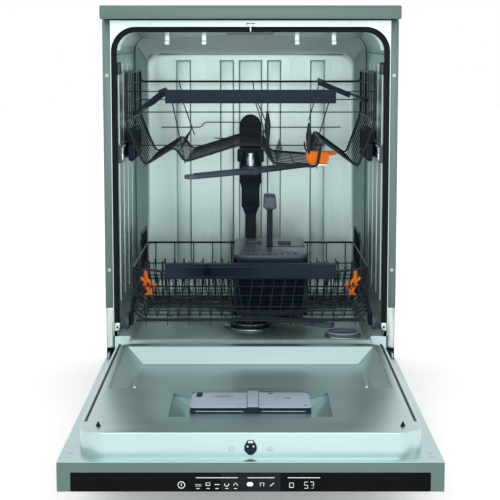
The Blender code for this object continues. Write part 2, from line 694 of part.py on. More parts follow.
def add_upper_rack():
    left = [(-262, 715), (-262, 690), (-262, 615), (-240, 590), (-150, 512), (-75, 528), (0, 546)]
    add_wire_rack("upper_basket", left + mirrored(left), (690,), UPPER_NEAR, 500, 7)
    for side, end in ((-1, "left"), (1, "right")):
        add_slide(side, "slide_" + end)
        add_adjuster(side, "adjuster_" + end)
    add_handle("upper_handle", 178, UPPER_NEAR, 652, 680)
    add_cup_shelf("cup_shelf_left", -1, 250, 628, 75, 38)
    add_cup_shelf("cup_shelf_right", 1, 250, 655, 105, 22)
    add_prism("glass_clip", [(112, 522), (148, 516.5), (148, 538), (112, 546)], "Y", (184, 262),
              "orange_plastic")
    add_rack_feed()


def add_handle(name, half_width, rack_near, low, high):
    """Angled grip bar in front of a rack."""
    back = rack_near - WIRE / 2 - 0.4
    front = back - 22
    wall = 4
    outline = [(front, low), (front, high), (back, high), (back, high - wall), (front + wall, high - wall),
               (front + wall, low)]
    bar = add_prism(name, outline, "X", (-half_width, half_width), "navy_plastic")
    soften(bar, 1.2)


def add_cup_shelf(name, side, hinge_x, hinge_z, reach, rise):
    """Slotted shelf that hangs from the rack's side and stands up from it at an angle."""
    thickness = 5
    angle = math.radians(rise)
    along = Vector((-side * math.cos(angle), math.sin(angle)))
    up = Vector((side * math.sin(angle), math.cos(angle)))
    start = Vector((side * hinge_x, hinge_z))
    corners = (start - up * thickness / 2, start + along * reach - up * thickness / 2,
               start + along * reach + up * thickness / 2, start + up * thickness / 2)
    shelf = add_prism(name, [(corner.x, corner.y) for corner in corners], "Y", (190, 390),
                      "slate_plastic", origin=place(side * hinge_x, 290, hinge_z))
    slots = 5
    for i in range(slots):
        near = 203 + i * 38
        from_x = side * (hinge_x - reach * math.cos(angle) + 12)
        to_x = side * (hinge_x - 18)
        slot = add_box(name + "_slot_%d" % i, sorted((from_x, to_x)), (near, near + 22),
                       (hinge_z - 40, hinge_z + reach), "slate_plastic")
        shape_with(shelf, slot, "DIFFERENCE")


def add_wheels():
    centre_z = TRACK_Z + 0.6 + WHEEL_RADIUS
    for corner, (side, depth) in WHEEL_PLACES.items():
        inner = 258.5
        width = 10
        start = inner if side > 0 else -inner - width
        profile = [(0, 0), (WHEEL_RADIUS - 1.5, 0), (WHEEL_RADIUS, 1.5), (WHEEL_RADIUS, width - 1.5),
                   (WHEEL_RADIUS - 1.5, width), (0, width)]
        add_turned("wheel_" + corner, profile, (start, depth, centre_z), "slate_plastic", axis="X",
                   segments=20, origin=place(start + width / 2, depth, centre_z))


def add_tine_row(name, start, end, count):
    """Fold-down comb: a base rod with upright tines, as one flat bent wire."""
    base = (198.0, 202.0)
    top = 288.0
    pitch = (end - start - WIRE) / (count - 1)
    outline = [(start, base[0])]
    outline.append((end, base[0]))
    for i in reversed(range(count)):
        left = start + pitch * i
        outline.append((left + WIRE, top))
        outline.append((left, top))
        if i:
            outline.append((left, base[1]))
            outline.append((left - pitch + WIRE, base[1]))
    middle = sum(base) / 2
    add_prism(name, outline, "Y", (TINE_DEPTH - WIRE / 2, TINE_DEPTH + WIRE / 2), "coated_wire",
              origin=place((start + end) / 2, TINE_DEPTH, middle))


def add_cutlery_basket():
    """Basket with four cells, a carrying handle and a lid that is slotted round the handle."""
    wall = 2.5
    (left, right), (near, far), (low, high) = BASKET_X, BASKET_DEPTH, BASKET_Z
    middle_x = (left + right) / 2
    middle_depth = (near + far) / 2
    basket = add_box("cutlery_basket", (left, right), (near, far), (low, high), "navy_plastic")
    half = wall / 2
    cells = (((left + wall, middle_x - half), (near + wall, middle_depth - half)),
             ((middle_x + half, right - wall), (near + wall, middle_depth - half)),
             ((left + wall, middle_x - half), (middle_depth + half, far - wall)),
             ((middle_x + half, right - wall), (middle_depth + half, far - wall)))
    for i, (across, depth) in enumerate(cells):
        cell = add_box("cutlery_cell_%d" % i, across, depth, (low + wall, high + CLEAR_OUT),
                       "navy_plastic")
        shape_with(basket, cell, "DIFFERENCE")
    stem = add_box("basket_stem", (middle_x - 4.5, middle_x + 4.5), (middle_depth - 5, middle_depth + 5),
                   (low + 1, HANDLE_TOP - 10), "navy_plastic")
    grip = add_box("basket_grip", (middle_x - 15, middle_x + 15), (middle_depth - 40, middle_depth + 40),
                   (HANDLE_TOP - 29, HANDLE_TOP), "navy_plastic")
    shape_with(basket, stem, "UNION")
    shape_with(basket, grip, "UNION")
    lid = add_box("cutlery_lid", (left, right), (near, far), (high + GAP, high + 8), "slate_plastic",
                  origin=place(left, middle_depth, high + 2))
    slot = add_box("lid_slot", (middle_x - 8, right + CLEAR_OUT), (middle_depth - 9, middle_depth + 9),
                   (high - CLEAR_OUT, high + CLEAR_OUT), "slate_plastic")
    shape_with(lid, slot, "DIFFERENCE")


def add_row_clip(side, name):
    """Lever that locks the folding tines."""
    outline = [(240, 236), (240, 262), (226, 294), (214, 294), (200, 250), (200, 236)]
    add_prism(name, [(side * x, z) for x, z in outline], "Y", (150, 166), "orange_plastic")


def add_lower_rack():
    left = [(-250, 300), (-250, 245), (-250, 208), (-234, 191), (-156, 191), (-78, 191), (0, 191)]
    add_wire_rack("lower_basket", left + mirrored(left), (245, 300), LOWER_NEAR, 515, 7)
    add_handle("lower_handle", 180, LOWER_NEAR, 285, 315)
    add_wheels()
    add_tine_row("tine_row_left", -232, -48, 7)
    add_tine_row("tine_row_right", 134, 232, 4)
    add_row_clip(-1, "clip_left")
    add_row_clip(1, "clip_right")
    add_cutlery_basket()


def build():
    clear_scene()
    add_worktop()
    for side, end in ((-1, "left"), (1, "right")):
        add_side_panel(side, "side_panel_" + end)
        add_rail(side, "rail_" + end)
        add_hinge(side, end)
    add_rear_panel()
    add_kick_plate()
    add_base_tray()
    add_feet()
    add_tub_shell()
    add_tub_floor()
    add_gasket()
    add_strike()
    add_feed_column()
    add_sump()
    add_filter_cup()
    add_pumps()
    add_softener()
    add_inlet()
    add_door_panel()
    add_control_strip()
    add_control_board()
    add_liner()
    add_latch()
    add_dispenser()
    add_spray_arms()
    add_upper_rack()
    add_lower_rack()


build()
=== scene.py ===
import math

import bpy
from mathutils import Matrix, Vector


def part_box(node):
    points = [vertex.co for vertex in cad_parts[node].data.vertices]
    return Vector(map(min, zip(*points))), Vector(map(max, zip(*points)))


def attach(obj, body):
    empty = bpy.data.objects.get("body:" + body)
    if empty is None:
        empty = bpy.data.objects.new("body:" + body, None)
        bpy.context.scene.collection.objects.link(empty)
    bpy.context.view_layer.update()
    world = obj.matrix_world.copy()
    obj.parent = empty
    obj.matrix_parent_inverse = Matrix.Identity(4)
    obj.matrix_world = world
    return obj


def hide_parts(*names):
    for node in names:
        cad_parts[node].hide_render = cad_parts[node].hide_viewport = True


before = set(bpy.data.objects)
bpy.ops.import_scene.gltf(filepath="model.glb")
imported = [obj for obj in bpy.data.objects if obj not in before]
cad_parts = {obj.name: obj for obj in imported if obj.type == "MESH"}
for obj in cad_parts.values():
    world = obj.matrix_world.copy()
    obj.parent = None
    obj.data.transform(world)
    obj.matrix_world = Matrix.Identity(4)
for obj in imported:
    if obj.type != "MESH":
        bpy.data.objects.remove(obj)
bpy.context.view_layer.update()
mm = 0.001
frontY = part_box("worktop_lid")[0].y      # depth is counted from the worktop's front edge


def spot(x, depth, z):      # millimetres across, behind the worktop's front edge, and up
    return Vector((x * mm, frontY + depth * mm, z * mm))


def spans(node):      # a CAD node's reach across, in depth and in height, in the same millimetres
    low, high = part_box(node)
    return ((low.x / mm, high.x / mm), ((low.y - frontY) / mm, (high.y - frontY) / mm),
            (low.z / mm, high.z / mm))


def onSide(side, low, high):      # a reach across, on the left (-1) or on the right (1)
    return sorted((side * low, side * high))


def middleOf(span):
    return (span[0] + span[1]) / 2


def clearChoice():
    if bpy.context.object and bpy.context.object.mode != "OBJECT":
        bpy.ops.object.mode_set(mode="OBJECT")
    bpy.ops.object.select_all(action="DESELECT")


def choose(*pieces):
    clearChoice()
    for piece in pieces:
        piece.select_set(True)
    bpy.context.view_layer.objects.active = pieces[-1]


def settle(piece):      # the place and turn go into the mesh
    choose(piece)
    bpy.ops.object.transform_apply(location=True, rotation=True, scale=True)
    return piece


def block(across, depth, height):
    low = spot(across[0], depth[0], height[0])
    high = spot(across[1], depth[1], height[1])
    clearChoice()
    bpy.ops.mesh.primitive_cube_add(size=1, location=(low + high) / 2)
    bpy.context.object.scale = high - low
    return settle(bpy.context.object)


turnTo = {"X": (0, math.pi / 2, 0), "Y": (math.pi / 2, 0, 0), "Z": (0, 0, 0)}


def drum(radius, length, middle, axis="Z", sides=32, tip=None):
    clearChoice()
    bpy.ops.mesh.primitive_cone_add(vertices=sides, radius1=radius * mm, depth=length * mm,
                                    radius2=(radius if tip is None else tip) * mm,
                                    location=spot(*middle), rotation=turnTo[axis])
    return settle(bpy.context.object)


def applyModifier(piece, kind, **values):
    choose(piece)
    modifier = piece.modifiers.new(kind.lower(), kind)
    for key, value in values.items():
        setattr(modifier, key, value)
    bpy.ops.object.modifier_apply(modifier=modifier.name)
    return piece


def roundEdges(piece, width, segments=2, angle=32):
    return applyModifier(piece, "BEVEL", width=width * mm, segments=segments, limit_method="ANGLE",
                         angle_limit=math.radians(angle))


def together(*pieces):
    choose(*pieces)
    if len(pieces) > 1:
        bpy.ops.object.join()
    return bpy.context.object


def cutOut(piece, *tools):
    tool = together(*tools)
    applyModifier(piece, "BOOLEAN", operation="DIFFERENCE", solver="EXACT", object=tool)
    bpy.data.objects.remove(tool, do_unlink=True)
    return piece


def weld(piece, *others):
    for other in others:
        applyModifier(piece, "BOOLEAN", operation="UNION", solver="EXACT", object=other)
        bpy.data.objects.remove(other, do_unlink=True)
    return piece


def editFaces(piece, test):      # leaves edit mode on, with the wanted faces chosen
    choose(piece)
    bpy.ops.object.mode_set(mode="EDIT")
    bpy.ops.mesh.select_mode(type="FACE")
    bpy.ops.mesh.select_all(action="DESELECT")
    bpy.ops.object.mode_set(mode="OBJECT")
    for face in piece.data.polygons:
        face.select = test(face)
    bpy.ops.object.mode_set(mode="EDIT")


def editEdges(piece, test):      # the test gets the two ends of each edge
    choose(piece)
    bpy.ops.object.mode_set(mode="EDIT")
    bpy.ops.mesh.select_mode(type="EDGE")
    bpy.ops.mesh.select_all(action="DESELECT")
    bpy.ops.object.mode_set(mode="OBJECT")
    corners = piece.data.vertices
    for edge in piece.data.edges:
        edge.select = test(corners[edge.vertices[0]].co, corners[edge.vertices[1]].co)
    bpy.ops.object.mode_set(mode="EDIT")


def leaveEdit():
    bpy.ops.object.mode_set(mode="OBJECT")


def bevelEdges(piece, test, width, segments=6):
    editEdges(piece, test)
    bpy.ops.mesh.bevel(offset=width * mm, segments=segments)
    leaveEdit()
    return piece


def facesOut(piece):      # puts the faces right after a mirroring scale
    editFaces(piece, lambda face: True)
    bpy.ops.mesh.normals_make_consistent(inside=False)
    leaveEdit()
    return piece


def softCorners(points, radius, steps=4):
    if not radius:
        return points
    route = [points[0]]
    for before, corner, after in zip(points, points[1:], points[2:]):
        back = before - corner
        ahead = after - corner
        reach = min(radius * mm, back.length * 0.45, ahead.length * 0.45)
        start = corner + back.normalized() * reach
        end = corner + ahead.normalized() * reach
        for i in range(steps + 1):
            t = i / steps
            route.append(start * (1 - t) ** 2 + corner * 2 * t * (1 - t) + end * t ** 2)
    route.append(points[-1])
    return route


def wires(routes, radius, corner=6, sides=8, closed=False):      # bent rods along lists of spots
    clearChoice()
    bpy.ops.curve.primitive_bezier_curve_add()
    bent = bpy.context.object
    bent.data.splines.clear()
    for route in routes:
        points = softCorners([spot(*place) for place in route], corner)
        spline = bent.data.splines.new("POLY")
        spline.points.add(len(points) - 1)
        for target, place in zip(spline.points, points):
            target.co = (*place, 1)
        spline.use_cyclic_u = closed
    bent.data.bevel_depth = radius * mm
    bent.data.bevel_resolution = (sides - 4) // 2
    bent.data.use_fill_caps = not closed
    bpy.ops.object.convert(target="MESH")
    return bpy.context.object


def refined(node, width=0.8, segments=2, angle=32):      # a CAD solid's own shape with real edge rounds
    clearChoice()
    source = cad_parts[node]
    piece = bpy.data.objects.new(node, source.data.copy())
    bpy.context.collection.objects.link(piece)
    choose(piece)
    bpy.ops.object.mode_set(mode="EDIT")
    bpy.ops.mesh.select_all(action="SELECT")
    bpy.ops.mesh.remove_doubles(threshold=0.00002)
    bpy.ops.mesh.dissolve_limited(angle_limit=math.radians(0.5))
    leaveEdit()
    if width:
        roundEdges(piece, width, segments, angle)
    return piece


def paint(piece, material):
    piece.data.materials.clear()
    piece.data.materials.append(material)
    return piece


def keep(piece, name, body, slot, *nodes, angle=30):      # names a finished piece and gives it its body
    choose(piece)
    bpy.ops.object.shade_smooth_by_angle(angle=math.radians(angle))
    piece.name = name
    piece.data.name = name
    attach(piece, body)
    if nodes:
        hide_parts(*nodes)
    return piece


def newFinish(name):
    material = bpy.data.materials.new(name)
    material.use_nodes = True
    nodes = material.node_tree.nodes
    return material, nodes, material.node_tree.links, nodes["Principled BSDF"]


def noiseAt(nodes, links, stretch, scale=1.0, detail=3.0):      # noise on object coordinates, stretched
    place = nodes.new("ShaderNodeTexCoord")
    mapping = nodes.new("ShaderNodeMapping")
    mapping.inputs["Scale"].default_value = stretch
    noise = nodes.new("ShaderNodeTexNoise")
    noise.inputs["Scale"].default_value = scale
    noise.inputs["Detail"].default_value = detail
    links.new(place.outputs["Object"], mapping.inputs["Vector"])
    links.new(mapping.outputs["Vector"], noise.inputs["Vector"])
    return noise.outputs["Fac"]


def spread(nodes, links, source, low, high, start=0.3, end=0.7):      # a number that follows the noise
    ranged = nodes.new("ShaderNodeMapRange")
    ranged.inputs["From Min"].default_value = start
    ranged.inputs["From Max"].default_value = end
    ranged.inputs["To Min"].default_value = low
    ranged.inputs["To Max"].default_value = high
    links.new(source, ranged.inputs["Value"])
    return ranged.outputs["Result"]


def twoTone(nodes, links, source, dark, light, start=0.3, end=0.7):
    ramp = nodes.new("ShaderNodeValToRGB")
    ramp.color_ramp.elements[0].position = start
    ramp.color_ramp.elements[0].color = (*dark, 1)
    ramp.color_ramp.elements[1].position = end
    ramp.color_ramp.elements[1].color = (*light, 1)
    links.new(source, ramp.inputs["Fac"])
    return ramp.outputs["Color"]


def relief(nodes, links, shader, source, strength, distance=0.0004):
    bump = nodes.new("ShaderNodeBump")
    bump.inputs["Strength"].default_value = strength
    bump.inputs["Distance"].default_value = distance
    links.new(source, bump.inputs["Height"])
    links.new(bump.outputs["Normal"], shader.inputs["Normal"])


def brushedFinish(name, look):
    material, nodes, links, shader = newFinish(name)
    shader.inputs["Metallic"].default_value = look["metal"]
    grain = noiseAt(nodes, links, look["grain"], detail=4)
    clouds = noiseAt(nodes, links, look["clouds"], detail=2)
    mixed = nodes.new("ShaderNodeMath")
    mixed.operation = "ADD"
    halved = nodes.new("ShaderNodeMath")
    halved.operation = "MULTIPLY"
    halved.inputs[1].default_value = 0.5
    links.new(grain, mixed.inputs[0])
    links.new(clouds, mixed.inputs[1])
    links.new(mixed.outputs[0], halved.inputs[0])
    colour = twoTone(nodes, links, halved.outputs[0], look["dark"], look["light"])
    links.new(colour, shader.inputs["Base Color"])
    links.new(spread(nodes, links, grain, *look["rough"]), shader.inputs["Roughness"])
    relief(nodes, links, shader, grain, look["bump"])
    return material


def mouldedFinish(name, look):
    material, nodes, links, shader = newFinish(name)
    shader.inputs["Specular IOR Level"].default_value = look.get("gloss", 0.5)
    pebble = noiseAt(nodes, links, (1, 1, 1), look["pebble"], 2)
    patches = noiseAt(nodes, links, (1, 1, 1), 14, 3)
    colour = twoTone(nodes, links, patches, look["dark"], look["light"])
    links.new(colour, shader.inputs["Base Color"])
    links.new(spread(nodes, links, patches, *look["rough"]), shader.inputs["Roughness"])
    relief(nodes, links, shader, pebble, look["bump"], 0.0002)
    return material


bodySteel = brushedFinish("bodySteel", {
    "dark": (0.100, 0.155, 0.147), "light": (0.124, 0.187, 0.178), "metal": 0.7, "rough": (0.40, 0.50),
    "grain": (5, 5, 700), "clouds": (2, 2, 3), "bump": 0.015})
tubSteel = brushedFinish("tubSteel", {
    "dark": (0.50, 0.64, 0.62), "light": (0.58, 0.73, 0.71), "metal": 0.75, "rough": (0.32, 0.38),
    "grain": (120, 3, 2), "clouds": (7, 2, 0.8), "bump": 0.002})
linerSteel = brushedFinish("linerSteel", {
    "dark": (0.42, 0.56, 0.56), "light": (0.50, 0.65, 0.65), "metal": 0.92, "rough": (0.28, 0.33),
    "grain": (2, 60, 2), "clouds": (3, 2, 2), "bump": 0.0005})
brightSteel = brushedFinish("brightSteel", {
    "dark": (0.48, 0.54, 0.53), "light": (0.62, 0.67, 0.66), "metal": 1.0, "rough": (0.14, 0.24),
    "grain": (120, 30, 120), "clouds": (20, 20, 20), "bump": 0.003})
# a lighter, less metallic copy of the tub steel: painted light for the faces under the tub's ceiling
paintedLightCeilingSteel = brushedFinish("paintedLightCeilingSteel", {
    "dark": (0.66, 0.80, 0.78), "light": (0.74, 0.88, 0.86), "metal": 0.20, "rough": (0.34, 0.42),
    "grain": (60, 3, 60), "clouds": (6, 2, 2), "bump": 0.002})
# near-black steel: painted shade for the tub's seam line, creases and slots
paintedShadeSteel = brushedFinish("paintedShadeSteel", {
    "dark": (0.02, 0.03, 0.03), "light": (0.06, 0.08, 0.08), "metal": 0.6, "rough": (0.35, 0.55),
    "grain": (90, 90, 90), "clouds": (20, 20, 20), "bump": 0.1})
zincSteel = brushedFinish("zincSteel", {
    "dark": (0.43, 0.46, 0.46), "light": (0.51, 0.54, 0.54), "metal": 1.0, "rough": (0.35, 0.52),
    "grain": (60, 60, 60), "clouds": (9, 9, 9), "bump": 0.05})
navyPlastic = mouldedFinish("navyPlastic", {
    "dark": (0.006, 0.014, 0.026), "light": (0.010, 0.020, 0.036), "rough": (0.38, 0.50), "pebble": 900,
    "bump": 0.10, "gloss": 0.13})
slatePlastic = mouldedFinish("slatePlastic", {
    "dark": (0.060, 0.076, 0.108), "light": (0.088, 0.106, 0.145), "rough": (0.32, 0.44), "pebble": 900,
    "bump": 0.08, "gloss": 0.35})
lilacPlastic = mouldedFinish("lilacPlastic", {
    "dark": (0.27, 0.335, 0.405), "light": (0.32, 0.385, 0.455), "rough": (0.28, 0.38), "pebble": 1100,
    "bump": 0.05})
orangePlastic = mouldedFinish("orangePlastic", {
    "dark": (0.84, 0.16, 0.002), "light": (1.0, 0.24, 0.004), "rough": (0.34, 0.46), "pebble": 800,
    "bump": 0.08, "gloss": 0.25})
palePlastic = mouldedFinish("palePlastic", {
    "dark": (0.55, 0.58, 0.55), "light": (0.66, 0.69, 0.66), "rough": (0.42, 0.55), "pebble": 500,
    "bump": 0.12})
blackRubber = mouldedFinish("blackRubber", {
    "dark": (0.003, 0.004, 0.005), "light": (0.007, 0.008, 0.010), "rough": (0.50, 0.66), "pebble": 1300,
    "bump": 0.15, "gloss": 0.14})
coatedWire = mouldedFinish("coatedWire", {
    "dark": (0.007, 0.010, 0.014), "light": (0.013, 0.017, 0.023), "rough": (0.28, 0.40), "pebble": 600,
    "bump": 0.06, "gloss": 0.25})
blackGlass = mouldedFinish("blackGlass", {
    "dark": (0.0015, 0.002, 0.003), "light": (0.0025, 0.003, 0.004), "rough": (0.05, 0.09), "pebble": 60,
    "bump": 0.002, "gloss": 0.06})
touchGlass = mouldedFinish("touchGlass", {
    "dark": (0.008, 0.010, 0.013), "light": (0.011, 0.014, 0.017), "rough": (0.06, 0.10), "pebble": 60,
    "bump": 0.002, "gloss": 0.08})
boardGreen = mouldedFinish("boardGreen", {
    "dark": (0.012, 0.09, 0.04), "light": (0.03, 0.17, 0.08), "rough": (0.30, 0.5), "pebble": 300,
    "bump": 0.2})


def printFinish():      # pale ink on the touch strip, slightly lit from behind
    material, nodes, links, shader = newFinish("paleInk")
    patches = noiseAt(nodes, links, (1, 1, 1), 900, 2)
    colour = twoTone(nodes, links, patches, (0.70, 0.74, 0.76), (0.92, 0.95, 0.96))
    links.new(colour, shader.inputs["Base Color"])
    links.new(colour, shader.inputs["Emission Color"])
    links.new(spread(nodes, links, patches, 0.35, 0.5), shader.inputs["Roughness"])
    shader.inputs["Emission Strength"].default_value = 0.35
    return material


paleInk = printFinish()


def sieveFinish():      # fine woven filter steel
    material, nodes, links, shader = newFinish("sieveSteel")
    shader.inputs["Metallic"].default_value = 0.8
    place = nodes.new("ShaderNodeTexCoord")
    cells = nodes.new("ShaderNodeTexVoronoi")
    cells.inputs["Scale"].default_value = 420
    links.new(place.outputs["Object"], cells.inputs["Vector"])
    colour = twoTone(nodes, links, cells.outputs["Distance"], (0.03, 0.035, 0.04), (0.42, 0.46, 0.47),
                     0.25, 0.5)
    links.new(colour, shader.inputs["Base Color"])
    links.new(spread(nodes, links, cells.outputs["Distance"], 0.55, 0.28), shader.inputs["Roughness"])
    relief(nodes, links, shader, cells.outputs["Distance"], 0.5)
    return material


sieveSteel = sieveFinish()
print("finishes")


cameraLook = {"distance": 2580.9, "height": 755.9, "lens": 92.81, "tilt": 6.499, "shift": (-0.0011, -0.10)}
lightLook = {"world": 1.0, "floorGlow": 0.22, "target": (0, 100, 420),
             "lamps": (("keySoftbox", (-1500, -2300, 2300), (1600, 1200), 12),
                       ("frontSoftbox", (300, -2900, 1300), (2200, 900), 12),
                       ("rightSoftbox", (2100, -700, 1500), (900, 1800), 5),
                       ("lowSoftbox", (0, -1900, 620), (1500, 420), 3))}


def makeCamera():
    clearChoice()
    bpy.ops.object.camera_add(location=spot(0, -cameraLook["distance"], cameraLook["height"]),
                              rotation=(math.radians(90 - cameraLook["tilt"]), 0, 0))
    camera = bpy.context.object
    camera.name = "camera"
    camera.data.lens = cameraLook["lens"]
    camera.data.shift_x, camera.data.shift_y = cameraLook["shift"]
    camera.data.clip_end = 50
    bpy.context.scene.camera = camera


def makeStudio():
    scene = bpy.context.scene
    scene.view_settings.view_transform = "Standard"
    world = bpy.data.worlds.new("studio")
    scene.world = world
    world.use_nodes = True
    sky = world.node_tree.nodes["Background"]
    sky.inputs["Color"].default_value = (1.0, 1.0, 1.0, 1)
    sky.inputs["Strength"].default_value = lightLook["world"]
    clearChoice()
    bpy.ops.mesh.primitive_plane_add(size=30, location=(0, 0, -0.0005))
    floor = settle(bpy.context.object)
    floor.name = "studioFloor"
    material, nodes, links, shader = newFinish("floorPaint")
    patches = noiseAt(nodes, links, (1, 1, 1), 3, 2)
    links.new(twoTone(nodes, links, patches, (0.90, 0.90, 0.90), (0.93, 0.93, 0.93)),
              shader.inputs["Base Color"])
    shader.inputs["Roughness"].default_value = 0.9
    shader.inputs["Specular IOR Level"].default_value = 0.1
    shader.inputs["Emission Color"].default_value = (1, 1, 1, 1)
    shader.inputs["Emission Strength"].default_value = lightLook["floorGlow"]
    paint(floor, material)
    target = spot(*lightLook["target"])
    for name, place, size, power in lightLook["lamps"]:
        clearChoice()
        bpy.ops.object.light_add(type="AREA", location=spot(*place))
        lamp = bpy.context.object
        lamp.name = name
        lamp.data.shape = "RECTANGLE"
        lamp.data.size, lamp.data.size_y = size[0] * mm, size[1] * mm
        lamp.data.energy = power
        lamp.rotation_euler = (target - lamp.location).to_track_quat("-Z", "Y").to_euler()


makeCamera()
makeStudio()
print("studio")


def archBlock(half, top, foot, depth, radius):      # a block with two round shoulders
    piece = block((-half, half), depth, (foot, top))
    shoulder = top * mm - 0.0001
    return bevelEdges(piece, lambda a, b: min(a.z, b.z) > shoulder and abs(a.x - b.x) < 0.0001, radius, 10)


tubLook = {"half": 277, "top": 803, "round": 44, "front": 63, "turn": 510, "sheet": 1.2,
           "backHalf": 250, "backTop": 757, "softBack": 9, "seamDepth": 508,
           "ribs": ((-180, -144), (-74, -40), (-28, 28), (40, 74), (144, 180)), "ribSpan": (215, 739),
           "ribRise": 3.2, "mouthHalf": 283, "mouthTop": 809, "mouthRound": 50,
           "skirt": (47.4, 48.6), "skirtFoot": 112, "brackets": (96, 172), "crease": (52, 238),
           "cornerRibs": (92, 17, 5), "grooves": (130, 95, 4), "slots": (100, 22, 4), "pads": (-203, 203)}


def pressedTub(look, foot, back):      # the tub's one sheet, open at its front and below
    half, top = look["half"], look["top"]
    shell = archBlock(half, top, foot, (look["front"], look["turn"]), look["round"])
    editFaces(shell, lambda face: face.normal.y < -0.9 or face.normal.z < -0.9)
    bpy.ops.mesh.delete(type="FACE")
    leaveEdit()
    editFaces(shell, lambda face: face.normal.y > 0.9)
    bpy.ops.mesh.extrude_region_move(
        TRANSFORM_OT_translate={"value": (0, (back - look["turn"]) * mm, 0)})
    shrink = (look["backHalf"] / half, 1, (look["backTop"] - foot) / (top - foot))
    bpy.ops.transform.resize(value=shrink, center_override=spot(0, back, foot))
    leaveEdit()
    footZ = foot * mm + 0.0001
    for ringY in (spot(0, look["turn"], 0).y, spot(0, back, 0).y):      # soft turns of the sheet
        bevelEdges(shell, lambda a, b: abs(a.y - ringY) < 0.0001 and abs(b.y - ringY) < 0.0001
                   and max(a.z, b.z) > footZ, look["softBack"], 4)
    low, high = look["ribSpan"]
    cuts = [((0, 0, z), (0, 0, 1)) for z in look["ribSpan"]]
    cuts += [((x, 0, 0), (1, 0, 0)) for pair in look["ribs"] for x in pair]
    for place, normal in cuts:
        editFaces(shell, lambda face: face.normal.y > 0.99)
        bpy.ops.mesh.bisect(plane_co=spot(*place), plane_no=normal)
        leaveEdit()
    for left, right in look["ribs"]:
        editFaces(shell, lambda face: face.normal.y > 0.99 and left < face.center.x / mm < right
                  and low < face.center.z / mm < high)
        bpy.ops.mesh.inset(thickness=0.003, depth=-look["ribRise"] * mm)
        leaveEdit()
    applyModifier(shell, "SOLIDIFY", thickness=look["sheet"] * mm, offset=1.0)
    return roundEdges(shell, 1.0, 2, 25)


def tubMouth(look, foot):      # the flat frame round the opening, and the step behind the seal
    across, depth, height = spans("tub_shell")
    lip, near, far = look["sheet"], depth[0], look["front"]
    plate = block((-across[1], across[1]), (near, near + lip), (foot, height[1]))
    cutOut(plate, archBlock(look["mouthHalf"], look["mouthTop"], foot - 10, (near - 5, near + 5),
                            look["mouthRound"]))
    ring = archBlock(look["mouthHalf"] + lip, look["mouthTop"] + lip, foot, (near + 0.2, far + lip),
                     look["mouthRound"] + lip)
    cutOut(ring, archBlock(look["mouthHalf"], look["mouthTop"], foot - 10, (near - 5, far),
                           look["mouthRound"]),
           archBlock(look["half"] + 0.4, look["top"] + 0.4, foot - 10, (far - 5, far + 9), look["round"]))
    return [plate, roundEdges(ring, 0.4, 1)]


def ceilingCrease(look, side):      # a shallow press under the ceiling, narrower towards the back
    top = look["top"]
    low = top - 1.5
    crease = block(onSide(side, *look["crease"]), (104, 380), (low - 14, top))
    editFaces(crease, lambda face: face.normal.z < -0.9)
    bpy.ops.transform.resize(value=(1, 0.6, 1), center_override=spot(0, 380, low))
    leaveEdit()
    editFaces(crease, lambda face: face.normal.x * side < -0.9)
    bpy.ops.transform.resize(value=(1, 0.5, 0.4), center_override=spot(0, 380, top))
    leaveEdit()
    return roundEdges(crease, 2.4, 3)


def tubBeads(look, foot):      # the sill's skirt, the ceiling's brackets and what is pressed into the walls
    half, top, bend = look["half"], look["top"], look["round"]
    beads = [block((-251, 251), look["skirt"], (look["skirtFoot"], foot - 9.4))]
    beads += [block(onSide(side, 250, 282), look["skirt"], (look["skirtFoot"], foot - 1))
              for side in (-1, 1)]
    for side in (-1, 1):
        for x in look["brackets"]:
            across = onSide(side, x - 5, x + 5)
            hook = block(across, (96, 108), (top - 26, top - 1))
            tab = block(across, (90, 98), (top - 30, top - 22))
            beads += [roundEdges(hook, 1.4, 3), roundEdges(tab, 1.2, 2)]
        beads.append(ceilingCrease(look, side))
        first, step, count = look["cornerRibs"]
        for i in range(count):
            turn = []
            for k in range(8):
                angle = math.radians(4 + 12 * k)
                turn.append((side * (half - bend + (bend - 0.4) * math.cos(angle)), first + step * i,
                             top - bend + (bend - 0.4) * math.sin(angle)))
            beads.append(wires([turn], 1.7, 0, 6))
        first, step, count = look["grooves"]
        for i in range(count):
            beads.append(wires([[(side * (half - 0.2), first + step * i, foot + 60),
                                 (side * (half - 0.2), first + step * i, top - bend - 26)]], 2.0, 0, 8))
    return beads


def tubLines(look, back):      # painted shade: near-black lines along the creases and in the slots
    half, top, bend = look["half"], look["top"], look["round"]
    lineZ = look["backTop"] - look["softBack"] * 0.4
    reach = look["backHalf"] - 18
    lines = [wires([[(-reach, back - 0.8, lineZ), (reach, back - 0.8, lineZ)]], 0.9, 0, 6)]
    first, step, count = look["slots"]
    for side in (-1, 1):
        for i in range(count):
            depth = first + step * i
            lines.append(wires([[(side * (half - 0.6), depth, top - 92),
                                 (side * (half - 0.6), depth, top - 66)]], 1.5, 0, 6))
        lines.append(wires([[(side * (half - 0.4), 66, top - bend - 6),
                             (side * (half - 0.4), 470, top - bend - 2)]], 0.9, 0, 6))
    return [paint(line, paintedShadeSteel) for line in lines]


def makeTub():
    look = tubLook
    depth, height = spans("tub_shell")[1:]
    foot = height[0]
    back = depth[1] - look["sheet"]
    shell = pressedTub(look, foot, back)
    bright = tubMouth(look, foot) + tubBeads(look, foot)
    dark = tubLines(look, back)
    bright += [roundEdges(block((x - 1.0, x + 1.0), (46.4, 47.4), (foot + 636, height[1] - 1)), 0.4, 1)
               for x in look["pads"]]
    paint(shell, tubSteel)
    # the faces under the ceiling take the lighter copy: painted light
    shell.data.materials.append(paintedLightCeilingSteel)
    lift = (look["backTop"] - 2) * mm
    editFaces(shell, lambda face: face.center.z > lift and face.normal.z < -0.25)
    shell.active_material_index = 1
    bpy.ops.object.material_slot_assign()
    leaveEdit()
    for part in bright:
        paint(part, tubSteel)
    keep(together(*dark, *bright, shell), "tubShell", "cabinet", "bright_steel", "tub_shell", angle=28)


